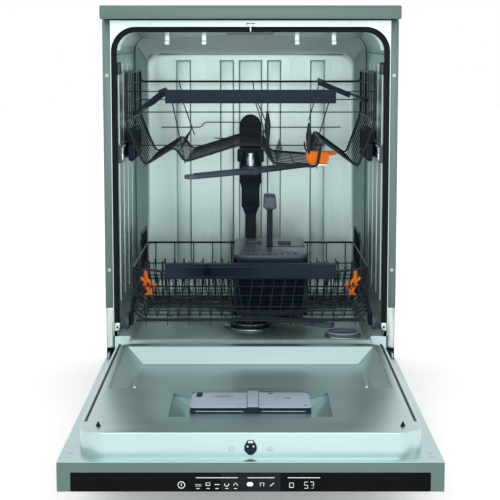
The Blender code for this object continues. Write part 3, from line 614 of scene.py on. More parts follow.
def makeTubSeam():      # painted shade: a dark line along the seam where the sides meet the back
    look = tubLook
    reach, depth, bend = look["half"] - 1.2, look["seamDepth"], look["round"]
    route = [(-reach, depth, spans("tub_shell")[2][0] + 2)]
    for k in range(11):
        angle = math.radians(180 - 9 * k)
        route.append((-(reach - bend) + bend * math.cos(angle), depth,
                      look["top"] - 1 - bend + bend * math.sin(angle)))
    other = [(-x, y, z) for x, y, z in reversed(route)]
    line = paint(wires([route + other], 1.3, 0, 6), paintedShadeSteel)
    keep(line, "tubSeam", "cabinet", "bright_steel")


def makeTubFloor():
    floor = refined("tub_floor", 3.0, 3, 12)
    paint(floor, tubSteel)
    keep(floor, "tubFloor", "cabinet", "bright_steel", "tub_floor", angle=40)


gasketLook = {"outerHalf": 282.6, "outerTop": 808.6, "innerHalf": 272, "innerTop": 798, "foot": 180,
              "outerRound": 50, "innerRound": 40, "lip": (4.4, 5.8), "clip": (271, 282), "clipZ": (183, 200)}


def makeGasket():
    look = gasketLook
    near, far = spans("door_gasket")[1]
    half, top, foot = look["innerHalf"], look["innerTop"], look["foot"]
    seal = archBlock(look["outerHalf"], look["outerTop"], foot, (near, far), look["outerRound"])
    cutOut(seal, archBlock(half, top, foot - 10, (near - 5, far + 5), look["innerRound"]))
    roundEdges(seal, 3.6, 4, 50)
    inside, outside = look["lip"]
    groove = archBlock(half + outside, top + outside, foot - 10, (near - 2, near + 1.2), 46)
    cutOut(groove, archBlock(half + inside, top + inside, foot - 20, (near - 5, near + 5), 44))
    cutOut(seal, groove)
    paint(seal, blackRubber)
    keep(seal, "doorGasket", "cabinet", "rubber", "door_gasket", angle=50)
    clips = []
    for side in (-1, 1):      # bright clips that hold the seal's ends
        across = onSide(side, *look["clip"])
        clip = roundEdges(block(across, (near - 1.2, near + 6), look["clipZ"]), 1.5, 2)
        hole = drum(2.4, 12, (side * middleOf(look["clip"]), near, 191), "Y", 20)
        clips.append(cutOut(clip, hole))
    keep(paint(together(*clips), brightSteel), "gasketClips", "cabinet", "bright_steel")


def screwHead(x, depth, z, radius):      # a round head with a cross recess
    head = roundEdges(drum(radius, 2.2, (x, depth, z), "Y", 28), 0.8, 2)
    reach, thin = radius * 0.62, radius * 0.16
    slots = [block((x - across, x + across), (depth - 3, depth - 0.4), (z - up, z + up))
             for across, up in ((thin, reach), (reach, thin))]
    for slot in slots:
        cutOut(head, slot)
    return paint(head, zincSteel)


corners = ("front_left", "front_right", "back_left", "back_right")


def cornerName(corner):      # front_left becomes FrontLeft
    return "".join(word.title() for word in corner.split("_"))


skinLook = {"screws": (291.5, 711, 311), "hingeCover": (285, 298.4), "coverZ": (146, 231),
            "coverGroove": (290.6, 292), "backRibs": (-200, -100, 0, 100, 200), "backRivets": 5,
            "strikeRivets": (-6, 6), "strikeZ": 813}


def makePanels():
    look = skinLook
    lid = refined("worktop_lid", 1.4, 3)
    keep(paint(lid, bodySteel), "worktopLid", "cabinet", "body_steel", "worktop_lid")
    x, *heights = look["screws"]
    for side, end in ((-1, "Left"), (1, "Right")):
        node = "side_panel_" + end.lower()
        panel = refined(node, 0.35, 2)
        front = spans(node)[1][0]
        heads = [screwHead(side * x, front + 0.1, z, 3.8) for z in heights]
        paint(panel, bodySteel)
        keep(together(*heads, panel), "sidePanel" + end, "cabinet", "body_steel", node)
    covers = []
    for side in (-1, 1):      # pale covers over the hinges, under the side panels' flanges
        low, high = look["coverZ"]
        cover = roundEdges(block(onSide(side, *look["hingeCover"]), (53, 57.5), (low, high)), 0.8, 2)
        groove = block(onSide(side, *look["coverGroove"]), (51, 53.8), (low + 4, high - 4))
        covers.append(paint(cutOut(cover, groove), brightSteel))
    keep(together(*covers), "hingeCovers", "cabinet", "bright_steel")


def makeBack():
    look = skinLook
    back = refined("rear_panel", 0.3, 1)
    across, depth, height = spans("rear_panel")
    beads = []
    for x in look["backRibs"]:      # pressed stiffening ribs
        rib = block((x - 16, x + 16), (depth[1] - 0.4, depth[1] + 2.2), (height[0] + 70, height[1] - 70))
        beads.append(paint(roundEdges(rib, 1.6, 3), zincSteel))
    for x in (across[0] + 10, across[1] - 10):
        for i in range(look["backRivets"]):
            z = height[0] + 40 + i * (height[1] - height[0] - 80) / (look["backRivets"] - 1)
            beads.append(paint(roundEdges(drum(3.6, 1.8, (x, depth[1] + 0.5, z), "Y", 20), 0.6), brightSteel))
    paint(back, zincSteel)
    keep(together(*beads, back), "rearPanel", "cabinet", "zinc_steel", "rear_panel")


def makeTrim():
    look = skinLook
    keep(paint(refined("kick_plate", 0.5, 2), bodySteel), "kickPlate", "cabinet", "body_steel", "kick_plate")
    keep(paint(refined("base_tray", 1.2, 2), navyPlastic), "baseTray", "cabinet", "navy_plastic", "base_tray")
    strike = refined("door_strike", 0.4, 2)
    depth = spans("door_strike")[1][0] + 0.5
    rivets = [paint(roundEdges(drum(1.6, 1.2, (x, depth, look["strikeZ"]), "Y", 16), 0.4), zincSteel)
              for x in look["strikeRivets"]]
    paint(strike, brightSteel)
    keep(together(*rivets, strike), "doorStrike", "cabinet", "bright_steel", "door_strike")


makeTub()
makeTubSeam()
makeTubFloor()
makeGasket()
makePanels()
makeBack()
makeTrim()
print("cabinet")


sliderLook = {"rail": ("cabinet", brightSteel, "bright_steel"),
              "slide": ("slide_", brightSteel, "bright_steel"),
              "hingeBracket": ("cabinet", zincSteel, "zinc_steel"),
              "hingeArm": ("door", zincSteel, "zinc_steel")}


def nodeOf(name, end):      # railLeft stands for rail_left, and so on
    return "".join("_" + letter.lower() if letter.isupper() else letter for letter in name + end)


def railCap(side, end):      # an end stop with a pale roller
    across, depth, height = spans("rail_" + end.lower())
    stop = block((across[0] - (2.4 if side > 0 else 0), across[1] + (2.4 if side < 0 else 0)),
                 (depth[0] - 4, depth[0] + 6), (height[0] + 1, height[1] - 1))
    roundEdges(stop, 2.2, 3)
    roller = roundEdges(drum(8, 3, (side * 266.5, depth[0] + 5, height[1] - 12), "X", 24), 0.8)
    keep(together(paint(stop, slatePlastic), paint(roller, palePlastic)), "railCap" + end, "cabinet",
         "slate_plastic")


def makeSliders():
    for side, end in ((-1, "Left"), (1, "Right")):
        for name, (body, material, slot) in sliderLook.items():
            piece = paint(refined(nodeOf(name, end), 0.5, 2), material)
            if name == "rail":
                railCap(side, end)
            owner = body + end.lower() if body == "slide_" else body
            keep(piece, name + end, owner, slot, nodeOf(name, end))


pumpLook = {"motor": (43.2, 300, 82), "bands": 6, "port": (-190, 72), "threads": 5}


def motorBands(span):      # cooling bands round the pump's motor
    radius, depth, z = pumpLook["motor"]
    bands = [drum(radius, 3, (span[0][0] + 22 + i * 10, depth, z), "X", 40) for i in range(pumpLook["bands"])]
    return [paint(roundEdges(band, 0.9, 2), zincSteel) for band in bands]


def portThread(span):      # the thread on the hose's end of the valve
    x, z = pumpLook["port"]
    back = span[1][1]
    rings = [paint(roundEdges(drum(12.4, 1.4, (x, back - 3.4 - i * 2.4, z), "Y", 32), 0.5, 1), palePlastic)
             for i in range(pumpLook["threads"])]
    bore = drum(6, 20, (x, back - 6, z), "Y", 24)
    return [cutOut(together(*rings), bore)]


def makePumps():
    for node, material, slot, name, width, extras in (
            ("circulation_pump", slatePlastic, "slate_plastic", "circulationPump", 2.0, motorBands),
            ("drain_pump", navyPlastic, "navy_plastic", "drainPump", 1.6, None),
            ("softener_tank", palePlastic, "pale_plastic", "softenerTank", 3.0, None),
            ("inlet_valve", palePlastic, "pale_plastic", "inletValve", 1.0, portThread)):
        piece = paint(refined(node, width, 3), material)
        added = extras(spans(node)) if extras else []
        keep(together(*added, piece), name, "cabinet", slot, node)


footLook = {"thread": 5.0, "wire": 0.55, "start": 14, "rise": 0.2, "points": 220}


def makeFoot(corner):
    look = footLook
    node = "foot_" + corner
    foot = refined(node, 0.8, 2)
    x, y = [middleOf(span) for span in spans(node)[:2]]
    turns = [(x + look["thread"] * math.cos(k * math.pi / 5), y + look["thread"] * math.sin(k * math.pi / 5),
              look["start"] + look["rise"] * k) for k in range(look["points"])]
    thread = wires([turns], look["wire"], 0, 4)
    keep(together(paint(thread, navyPlastic), paint(foot, navyPlastic)), "foot" + cornerName(corner), node,
         "navy_plastic", node)


columnLook = {"front": 524, "back": 546, "levels": ((13, 163.5, 372), (22, 384, 437), (26, 446, 583)),
              "dome": (25.8, 583), "bands": ((23, 436), (27, 446), (27, 506), (27, 560)), "dockZ": 524,
              "clips": (205, 300)}


def makeColumn():
    look = columnLook
    near, far = look["front"], look["back"]
    middle = middleOf((near, far))
    parts = [roundEdges(block((-half, half), (near, far), (low, high)), 3.5, 4)
             for half, low, high in look["levels"]]
    for (narrow, _, top), (half, low, _) in zip(look["levels"], look["levels"][1:]):
        neck = block((-half, half), (near + 0.5, far - 0.5), (top - 6, low + 6))
        editFaces(neck, lambda face: face.normal.z < -0.9)
        bpy.ops.transform.resize(value=(narrow / half, 1, 1), center_override=spot(0, middle, top))
        leaveEdit()
        parts.append(roundEdges(neck, 2.5, 3))
    radius, topZ = look["dome"]
    parts.append(roundEdges(drum(radius, 21, (0, middle, topZ), "Y", 48), 3.5, 4))
    for half, z in look["bands"]:      # raised bands
        parts.append(roundEdges(block((-half, half), (near - 0.8, far + 0.5), (z - 2.5, z + 2.5)), 1, 2))
    dock = drum(16, 16, (0, near - 4, look["dockZ"]), "Y", 40)
    cutOut(dock, drum(11.5, 10, (0, near - 10, look["dockZ"]), "Y", 40))
    parts.append(roundEdges(dock, 0.8, 2))
    for z in look["clips"]:      # clips that hold the duct to the wall
        parts.append(roundEdges(block((-17, 17), (near - 1.4, far + 1), (z - 6, z + 6)), 1.5, 2))
    whole = together(*[paint(part, navyPlastic) for part in parts])
    keep(whole, "feedColumn", "cabinet", "navy_plastic", "feed_column")


def ringOf(outer, inner, span, centre, sides=56):      # a flat ring about the upright axis
    low, high = span
    ring = drum(outer, high - low, (centre[0], centre[1], (low + high) / 2), "Z", sides)
    return cutOut(ring, drum(inner, high - low + 10, (centre[0], centre[1], (low + high) / 2), "Z", sides))


sumpLook = {"trim": (58.6, 46.5, (139.4, 142.4)), "sieve": (43.9, 36.3, (148.0, 150.4)),
            "mouth": (35.8, 30.5, (146.6, 154)), "grips": 10, "gripRing": 40,
            "capRing": (34.5, 30.5, (158.4, 161)), "capBase": (39.6, 37.2, (150.2, 153.4)), "capRibs": 24,
            "capRibRing": 36.2}


def around(middle, radius, count):      # places evenly spread on a circle
    for i in range(count):
        angle = math.radians(360 / count * i)
        yield middle[0] + radius * math.cos(angle), middle[1] + radius * math.sin(angle)


def makeSump():
    look = sumpLook
    centre = (0, middleOf(spans("sump")[1]))
    well = paint(refined("sump", 1.2, 2), slatePlastic)
    trim = paint(roundEdges(ringOf(*look["trim"], centre), 1.1, 2), brightSteel)
    keep(together(trim, well), "sump", "cabinet", "slate_plastic", "sump")
    cup = paint(refined("filter_cup", 0.7, 2), navyPlastic)
    sieve = paint(roundEdges(ringOf(*look["sieve"], centre), 0.8, 2), sieveSteel)
    grips = [paint(roundEdges(drum(2.6, 6, (x, depth, 152), "Z", 16), 0.7), navyPlastic)
             for x, depth in around(centre, look["gripRing"], look["grips"])]
    mouth = paint(roundEdges(ringOf(*look["mouth"], centre), 1.0, 2), navyPlastic)
    keep(together(sieve, mouth, *grips, cup), "filterCup", "filter_cup", "slate_plastic", "filter_cup")


def makeSaltCap():
    look = sumpLook
    cap = paint(refined("salt_cap", 0.9, 2), slatePlastic)
    centre = [middleOf(span) for span in spans("salt_cap")[:2]]
    ribs = [paint(drum(1.2, 5.4, (x, y, 153), "Z", 8), slatePlastic)
            for x, y in around(centre, look["capRibRing"], look["capRibs"])]
    ring = paint(roundEdges(ringOf(*look["capRing"], centre, 40), 0.8, 2), lilacPlastic)
    base = paint(roundEdges(ringOf(*look["capBase"], centre, 48), 0.6, 2), brightSteel)
    keep(together(ring, base, *ribs, cap), "saltCap", "salt_cap", "slate_plastic", "salt_cap")


armLook = {"upper_spray_arm": {"half": 207, "root": 38, "tip": 27, "turn": 49, "hub": 20,
                               "sole": 2, "roof": 5},
           "lower_spray_arm": {"half": 236, "root": 42, "tip": 30, "turn": -42, "hub": 22,
                               "sole": 8.6, "roof": 4}}
armAxis = 300      # the depth of both spray arms' axis


def makeArm(node, name):
    look = armLook[node]
    half, root, tip = look["half"], look["root"], look["tip"]
    low, high = spans(node)[2]
    flat = (low + look["sole"], high - look["roof"])
    centre = spot(0, armAxis, 0)
    heart = spot(0, armAxis, middleOf(flat))
    clearChoice()
    bpy.ops.mesh.primitive_cube_add(size=1, location=heart)
    arm = bpy.context.object
    arm.scale = Vector((half * 2, root, flat[1] - flat[0])) * mm
    settle(arm)
    editFaces(arm, lambda face: True)
    bpy.ops.mesh.bisect(plane_co=centre, plane_no=(1, 0, 0))
    leaveEdit()
    for side in (-1, 1):
        editFaces(arm, lambda face: face.normal.x * side > 0.9)
        bpy.ops.transform.resize(value=(1, tip / root, 0.72), center_override=heart)
        leaveEdit()
    tipX = half * mm - 0.0005
    bevelEdges(arm, lambda a, b: min(abs(a.x), abs(b.x)) > tipX and abs(a.z - b.z) > 0.003, tip * 0.42, 6)
    roundEdges(arm, 2.6, 3, 25)
    spine = block((-half + 26, half - 26), (armAxis - 5, armAxis + 5), (flat[1] - 2.2, flat[1] + 1.0))
    roundEdges(spine, 1.4, 3)
    hub = drum(look["hub"], high - low, (0, armAxis, middleOf((low, high))), "Z", 40)
    roundEdges(hub, 1.6, 3)
    jets = []
    for side in (-1, 1):
        for i in range(4):      # jets on both sides of the spine
            x = side * (half - 22 - i * (half - 60) / 4)
            jets.append(drum(3.1, 6, (x, armAxis + (9 if i % 2 else -9), flat[1]), "Z", 18, 2.2))
    cutOut(arm, *jets)
    whole = together(*[paint(part, slatePlastic) for part in (spine, hub, arm)])
    whole.location = -centre
    settle(whole)
    whole.rotation_euler = (0, 0, math.radians(look["turn"]))
    settle(whole)
    whole.location = centre
    settle(whole)
    keep(whole, name, node, "slate_plastic", node)


makeSliders()
makePumps()
for corner in corners:
    makeFoot(corner)
makeColumn()
makeSump()
makeSaltCap()
makeArm("upper_spray_arm", "upperSprayArm")
makeArm("lower_spray_arm", "lowerSprayArm")
print("workings")


upperLook = {"near": 130, "far": 500, "rim": 714, "backRim": 689, "wire": 1.2, "fine": 1.0, "rimWire": 2.4,
             "crossWires": 10, "drop": 2.4,
             "floor": ((-262, 612), (-239, 552), (-223, 521), (-160, 560), (-139, 528), (-24, 564), (24, 564),
                       (48, 524), (141, 517), (151, 573), (227, 517), (240, 552), (262, 612)),
             "frontWires": (((-262, 676), (262, 676)), ((-262, 633), (262, 633)), ((-240, 563), (-27, 563)),
                            ((10, 563), (157, 563)), ((-76, 578), (-11, 578))),
             "backWires": (((-262, 646), (262, 646)), ((-213, 580), (-118, 580), (-110, 592), (-5, 592)),
                           ((35, 580), (215, 580))),
             "slants": (((-165, 655), (-138, 526)), ((-142, 655), (-118, 585)), ((-150, 697), (-144, 674)),
                        ((5, 697), (10, 655), (44, 545)), ((14, 655), (38, 598)),
                        ((145, 697), (134, 655), (122, 615)), ((165, 655), (137, 560))),
             "floorWires": (-191, -82, 94), "sideWires": (690, 650), "sideRail": 614,
             "hoops": ((-152, 14), (56, 12)), "hoopRows": (176, 64, 5), "leaves": ((37, 214), (126, 196)),
             "flap": ((154, 228), (134, 160), (517, 521)), "flapRise": 52}


def floorAt(x, look):      # height of the rack's folded floor at a place across
    for (xa, za), (xb, zb) in zip(look["floor"], look["floor"][1:]):
        if xa <= x <= xb:
            return za + (zb - za) * (x - xa) / (xb - xa)
    return look["floor"][0][1]


def upperWires(look):      # the rack's wires by thickness
    half, near, far, rim = look["floor"][-1][0], look["near"], look["far"], look["rim"]
    profile = [(-half, rim - 1), *look["floor"], (half, rim - 1)]
    thin, fine, thick = [], [], []
    last = look["crossWires"] - 1
    for i in range(last + 1):      # bent cross wires that make both sides and the folded floor
        depth = near + (far - near) * i / last
        (thick if i in (0, last) else thin).append([(x, depth, z) for x, z in profile])
    under = [(x, z) for x, z in look["floor"][1:-1]] + [(x, floorAt(x, look)) for x in look["floorWires"]]
    for x, z in under:
        thin.append([(x, near, z - look["drop"]), (x, far, z - look["drop"])])
    corner = [(half, far, look["backRim"]), (half, far, rim), (half, near + 14, rim), (half, near, rim - 34)]
    thick.append([(-x, depth, z) for x, depth, z in reversed(corner)] + corner)
    for side in (-1, 1):
        for z in look["sideWires"]:
            thin.append([(side * half, near, z), (side * half, far, z)])
        thick.append([(side * half, near, look["sideRail"]), (side * half, far, look["sideRail"])])
    for depth, rows in ((near, look["frontWires"]), (far, look["backWires"]), (near + 3, look["slants"])):
        for row in rows:
            thin.append([(x, depth, z) for x, z in row])
    first, step, count = look["hoopRows"]
    for i in range(count):      # small hoops along the folds
        row = first + i * step
        for x, lean in look["hoops"]:
            base = floorAt(x, look)
            fine.append([(x, row, base), (x + lean, row, base + 32), (x + lean, row + 9, base + 32),
                         (x, row + 9, base)])
    return [wires(thin, look["wire"], 6, 8), wires(fine, look["fine"], 4, 6),
            wires(thick, look["rimWire"], 12, 10)]


def glassLeaf(x, row, base):      # a soft glass holder, thickest two thirds of the way up, with a hook
    leaf = drum(2.4, 56, (x, row, base + 31), "Z", 16, 7.0)
    weld(leaf, drum(7.0, 30, (x, row, base + 74), "Z", 16, 2.2))
    choose(leaf)
    bpy.ops.transform.resize(value=(1, 0.5, 1), center_override=spot(x, row, base))
    hook = [(x - 2, row, base + 24), (x - 9, row, base + 34), (x - 10, row, base + 48)]
    return [roundEdges(settle(leaf), 0.8, 2, 25), wires([hook], 1.8, 4, 8)]


def makeUpperBasket():
    look = upperLook
    parts = upperWires(look)
    for x, row in look["leaves"]:
        parts += glassLeaf(x, row, floorAt(x, look))
    flap = block(*look["flap"])      # slanted black rest beside the clip
    editFaces(flap, lambda face: face.normal.x < -0.9)
    bpy.ops.transform.translate(value=(0, 0, look["flapRise"] * mm))
    leaveEdit()
    parts.append(roundEdges(flap, 1, 2))
    keep(together(*[paint(part, coatedWire) for part in parts]), "upperBasket", "upper_rack", "coated_wire",
         "upper_basket", angle=50)


handleLook = {"face": 5, "lip": 5, "capLine": 90, "hooks": 6, "hookEnd": 24}


def makeHandle(node, name, body):
    look = handleLook
    (left, right), (near, far), (low, high) = spans(node)
    bar = block((left, right), (near, near + look["face"]), (low, high))
    weld(bar, block((left, right), (near, far), (high - look["lip"], high)))
    roundEdges(bar, 1.8, 3)
    cutOut(bar, block((left + 8, right - 8), (near - 2, near + 0.5), (low + 3.2, low + 4.4)))
    for x in (left + look["capLine"], right - look["capLine"]):      # lines where the end caps meet the bar
        cutOut(bar, block((x - 0.4, x + 0.4), (near - 2, near + 0.4), (low - 1, high + 1)))
    hooks = []
    for i in range(look["hooks"]):      # clips on the rack's front wires
        x = left + look["hookEnd"] + i * (right - left - 2 * look["hookEnd"]) / (look["hooks"] - 1)
        hooks.append(roundEdges(block((x - 5, x + 5), (near + 4, far + 1.6), (high - 14, high - 3)), 1.2, 2))
    whole = together(*[paint(part, navyPlastic) for part in (*hooks, bar)])
    keep(whole, name, body, "navy_plastic", node)


adjusterLook = {"ribs": (26, 18, 9), "lever": 44, "thumb": (8, 14), "hanger": (60, 2), "wheel": 9,
                "wheelAt": 259.5}


def makeAdjuster(side, end):
    look = adjusterLook
    node = "adjuster_" + end.lower()
    across, (near, far), (low, high) = spans(node)
    inner = across[0] if side > 0 else across[1]
    parts = [roundEdges(block(across, (near + 9, far), (low, high - 8)), 2.4, 3)]
    first, step, count = look["ribs"]
    for i in range(count):      # upright ribs on the side that faces the rack
        row = near + first + i * step
        rib = block(sorted((inner, inner - side * 2.6)), (row - 2, row + 2), (low + 4, high - 14))
        parts.append(roundEdges(rib, 0.8, 2))
    parts.append(roundEdges(block(across, (near, near + look["lever"]), (high - 40, high - 4)), 3.5, 3))
    before, after = look["thumb"]
    thumb = block(sorted((inner - side * 8, inner + side * 4)), (near - before, near + after),
                  (high - 10, high))
    parts.append(roundEdges(thumb, 2, 3))
    before, after = look["hanger"]
    hanger = block(sorted((inner - side * 2, inner + side * 6)), (near - before, near + after),
                   (low + 8, low + 40))
    parts.append(roundEdges(hanger, 3, 3))
    wheels = [paint(roundEdges(drum(look["wheel"], 4, (side * look["wheelAt"], row, low + 6), "X", 28), 1, 2),
                    slatePlastic) for row in (near + 24, far - 20)]
    for part in parts:
        paint(part, navyPlastic)
    keep(together(*wheels, *parts), "adjuster" + end, "upper_rack", "navy_plastic", node)


shelfLook = {"cup_shelf_left": {"side": -1, "hinge": (250, 628), "reach": 75, "rise": 38},
             "cup_shelf_right": {"side": 1, "hinge": (250, 655), "reach": 105, "rise": 22},
             "slots": 14, "slot": 8, "teeth": 11, "half": 2.5}


def makeCupShelf(node, name):      # made lying to the right of its hinge, then turned and put in place
    look = shelfLook[node]
    side, reach = look["side"], look["reach"]
    near, far = spans(node)[1]
    half, slot, rows = shelfLook["half"], shelfLook["slot"], shelfLook["slots"]
    plate = block((0, reach), (near, far), (-half, half))
    holes = []
    for i in range(rows):
        depth = near + 9 + i * (far - near - 18) / rows
        for across in ((12, reach * 0.45), (reach * 0.52, reach - 12)):
            holes.append(block(across, (depth, depth + slot), (-8, 8)))
    cutOut(plate, *holes)
    parts = [roundEdges(plate, 0.7, 1)]
    parts.append(roundEdges(block((reach - 5, reach), (near, far), (-half, 6)), 1.6, 3))
    parts.append(roundEdges(block((0, 7), (near, far), (-6, 3.5)), 1.6, 3))
    for i in range(shelfLook["teeth"]):      # comb teeth that hold stems
        depth = near + 6 + i * (far - near - 12) / (shelfLook["teeth"] - 1)
        tooth = block((reach * 0.35, reach - 4), (depth - 1.1, depth + 1.1), (-9, -1))
        parts.append(roundEdges(tooth, 0.5, 1))
    for depth in (near + 20, far - 20):      # hinge knuckles on the rack's wire
        parts.append(roundEdges(drum(5, 16, (0, depth, 0), "Y", 24), 1, 2))
    whole = together(*[paint(part, navyPlastic) for part in parts])
    if side > 0:
        whole.scale = (-1, 1, 1)
        facesOut(settle(whole))
    whole.rotation_euler = (0, math.radians(look["rise"]) * side, 0)
    settle(whole)
    hingeX, hingeZ = look["hinge"]
    whole.location = Vector((side * hingeX * mm, 0, hingeZ * mm))
    keep(settle(whole), name, node, "slate_plastic", node)


glassClipLook = {"body": ((117, 171), (519, 546)), "ribs": (122, 9, 6), "notch": (112, 128), "axis": 146}


def makeGlassClip():
    look = glassClipLook
    near = spans("glass_clip")[1][0]
    across, height = look["body"]
    body = block(across, (near, near + 26), height)
    editFaces(body, lambda face: face.normal.z < -0.9)
    bpy.ops.transform.resize(value=(0.72, 1, 1), center_override=spot(look["axis"], near + 13, height[0]))
    leaveEdit()
    roundEdges(body, 2.4, 3)
    cutOut(body, block(look["notch"], (near - 5, near + 40), (540, 560)))
    parts = [body]
    first, step, count = look["ribs"]
    for i in range(count):      # raised ribs down its face
        x = first + i * step
        rib = block((x - 1.5, x + 1.5), (near - 2.2, near + 2), (522 + abs(i - 2.5) * 1.4, 545))
        parts.append(roundEdges(rib, 1, 2))
    parts.append(roundEdges(drum(4.6, 15, (178, near + 10, 541), "X", 18, 2.4), 1, 2))
    parts.append(roundEdges(block((146, 180), (near + 4, near + 12), (543, 547)), 1.2, 2))
    base = paint(roundEdges(block((127, 168), (near + 2, near + 24), (514.5, 518.6)), 1.2, 2), brightSteel)
    keep(together(*[paint(part, orangePlastic) for part in parts], base), "glassClip", "upper_rack",
         "orange_plastic", "glass_clip")


feedLook = {"pipe": 10, "pipeStart": 306, "z": 524, "hub": 24, "cone": (23, 15), "cap": 15, "tube": 9.4,
            "tubeAt": 277}


def makeRackFeed():
    look = feedLook
    start, z, end = look["pipeStart"], look["z"], spans("rack_feed_pipe")[1][1]
    wide, narrow = look["cone"]
    pipe = roundEdges(drum(look["pipe"], end - start, (0, (end + start) / 2, z), "Y", 36), 0.8, 2)
    collar = roundEdges(drum(13, 12, (0, end - 8, z), "Y", 36), 1.5, 3)
    hub = roundEdges(drum(look["hub"], 12, (0, armAxis, z - 12), "Z", 48), 2.5, 3)
    cone = roundEdges(drum(wide, 14, (0, armAxis, z), "Z", 48, narrow), 1.2, 2)
    cap = roundEdges(drum(look["cap"], 12, (0, armAxis, z + 8), "Z", 40), 3, 4)
    housing = roundEdges(block((-30, 30), (312, 350), (512, 540)), 4, 4)
    parts = [paint(part, navyPlastic) for part in (pipe, collar, hub, cone, housing, cap)]
    tube = roundEdges(drum(look["tube"], 30, (0, look["tubeAt"], z - 3), "Z", 36), 1.2, 3)
    foot = roundEdges(drum(10.6, 3, (0, look["tubeAt"], z - 15), "Z", 36), 0.8, 2)
    keep(together(paint(tube, brightSteel), paint(foot, brightSteel), *parts), "rackFeedPipe", "upper_rack",
         "navy_plastic", "rack_feed_pipe")


makeUpperBasket()
makeHandle("upper_handle", "upperHandle", "upper_rack")
for side, end in ((-1, "Left"), (1, "Right")):
    makeAdjuster(side, end)
makeCupShelf("cup_shelf_left", "cupShelfLeft")
makeCupShelf("cup_shelf_right", "cupShelfRight")
makeGlassClip()
makeRackFeed()
print("upper rack")


lowerLook = {"half": 250, "near": 120, "far": 515, "rim": 300, "mid": 249, "floor": 192, "wire": 1.3,
             "fine": 1.0, "rimWire": 2.4, "pitch": 23, "crossWires": 10, "frontWires": (264, 244),
             "ringWires": (220, 211), "feetX": (-180, -60, 60, 180), "leftTines": (182, 244, 424, 474),
             "rightTines": (244, 424, 474), "guard": 252, "guardWires": (376, 16, 9),
             "guardZ": (262, 300, 340),
             "wheelRows": (124, 470)}


def lowerFrame(look):      # the rack's own wires, thin and thick
    half, near, far = look["half"], look["near"], look["far"]
    rim, mid, floor = look["rim"], look["mid"], look["floor"]
    thick = [[(-half + 60, near, rim - 4), (-half, near, rim + 3), (-half, far, rim), (half, far, rim),
              (half, near, rim + 3), (half - 60, near, rim - 4), (-half + 60, near, rim - 4)],
             [(-half + 6, near, floor - 2), (half - 6, near, floor - 2)]]
    thin = [[(-half, near, z), (half, near, z)] for z in look["frontWires"]]
    for z in look["ringWires"]:
        thin.append([(-half + 2, near, z), (-half + 4, far, z), (half - 4, far, z), (half - 2, near, z),
                     (-half + 2, near, z)])
    thin.append([(-half, far, mid), (half, far, mid)])
    for side in (-1, 1):
        thin.append([(side * half, near, mid), (side * half, far, mid)])
    for i in range(look["crossWires"]):      # wires across the rack and up its sides
        depth = near + 8 + (far - near - 16) * i / (look["crossWires"] - 1)
        thin.append([(-half, depth, rim), (-half, depth, 210), (-half + 18, depth, floor),
                     (half - 18, depth, floor), (half, depth, 210), (half, depth, rim)])
    return thin, thick


def lowerTines(look):      # wires along the floor, little feet and the fixed tines
    near, far = look["near"], look["far"]
    rim, mid, floor = look["rim"], look["mid"], look["floor"]
    along, fine = [], []
    for k in range(-10, 11):
        x = look["pitch"] * k
        lean = 7 if k < 0 else -7
        top = mid + 12 if k % 2 else rim
        along.append([(x - lean, near, 296), (x + lean, near, 200), (x + lean, near + 12, floor + 3),
                      (x, far - 12, floor + 3), (x, far, 204), (x, far, top)])
        if k % 2 == 0 and abs(k) > 1:
            fine.append([(x + lean, near, 200), (x + lean, near, 180)])
    for x in look["feetX"]:
        for depth in (near + 60, far - 60):
            fine.append([(x, depth, floor), (x + 6, depth, floor - 8), (x + 12, depth, floor)])
    for rows, start, pitch, count, lean, top in ((look["leftTines"], -222, 23, 9, -8, 258),
                                                 (look["rightTines"], 136, 21, 5, 8, 254)):
        for row in rows:
            for i in range(count):
                x = start + i * pitch
                fine.append([(x, row, floor), (x + lean, row + 10, top), (x + lean, row + 14, top + 6)])
    return along, fine


def lowerGuards(look):      # plate rails, guards at the rear corners and loops for the wheels
    half, near, far, out = look["half"], look["near"], look["far"], look["guard"]
    first, step, count = look["guardWires"]
    thin, thick = [], []
    for side in (-1, 1):
        thin.append([(side * 214, near + 20, 226), (side * 214, far - 20, 226)])
        for i in range(count):
            depth = first + i * step
            thick.append([(side * out, depth, 256), (side * out, depth, 340)])
        for z in look["guardZ"]:
            thick.append([(side * out, 374, z), (side * out, 508, z)])
        thin.append([(side * half, near + 90, look["rim"]), (side * out, first, 338)])
        for row in look["wheelRows"]:
            depth = row + 16
            thick.append([(side * 250, depth - 34, 240), (side * 253, depth - 32, 200),
                          (side * 253, depth - 16, 184), (side * 253, depth, 200),
                          (side * 250, depth + 2, 240)])
    return thin, thick


def makeLowerBasket():
    look = lowerLook
    thin, thick = lowerFrame(look)
    along, fine = lowerTines(look)
    guardThin, guardThick = lowerGuards(look)
    parts = [wires(thin + along + guardThin, look["wire"], 6, 8), wires(fine, look["fine"], 4, 6),
             wires(thick + guardThick, look["rimWire"], 14, 10)]
    caps = []
    for side in (-1, 1):
        for depth in look["wheelRows"]:      # wheel carriers with their axles
            carrier = block(onSide(side, 250, 257), (depth - 15, depth + 15), (180, 212))
            caps.append(roundEdges(carrier, 4, 4))
            caps.append(roundEdges(drum(3, 14, (side * 258, depth, 188.3), "X", 20), 0.6, 2))
    for part in parts:
        paint(part, coatedWire)
    keep(together(*[paint(part, navyPlastic) for part in caps], *parts), "lowerBasket", "lower_rack",
         "coated_wire", "lower_basket", angle=50)


wheelLook = {"radius": 16, "width": 10, "groove": (2.6, 1.0, 2.6), "hub": 5.2, "bore": 2.2, "spokes": 6}


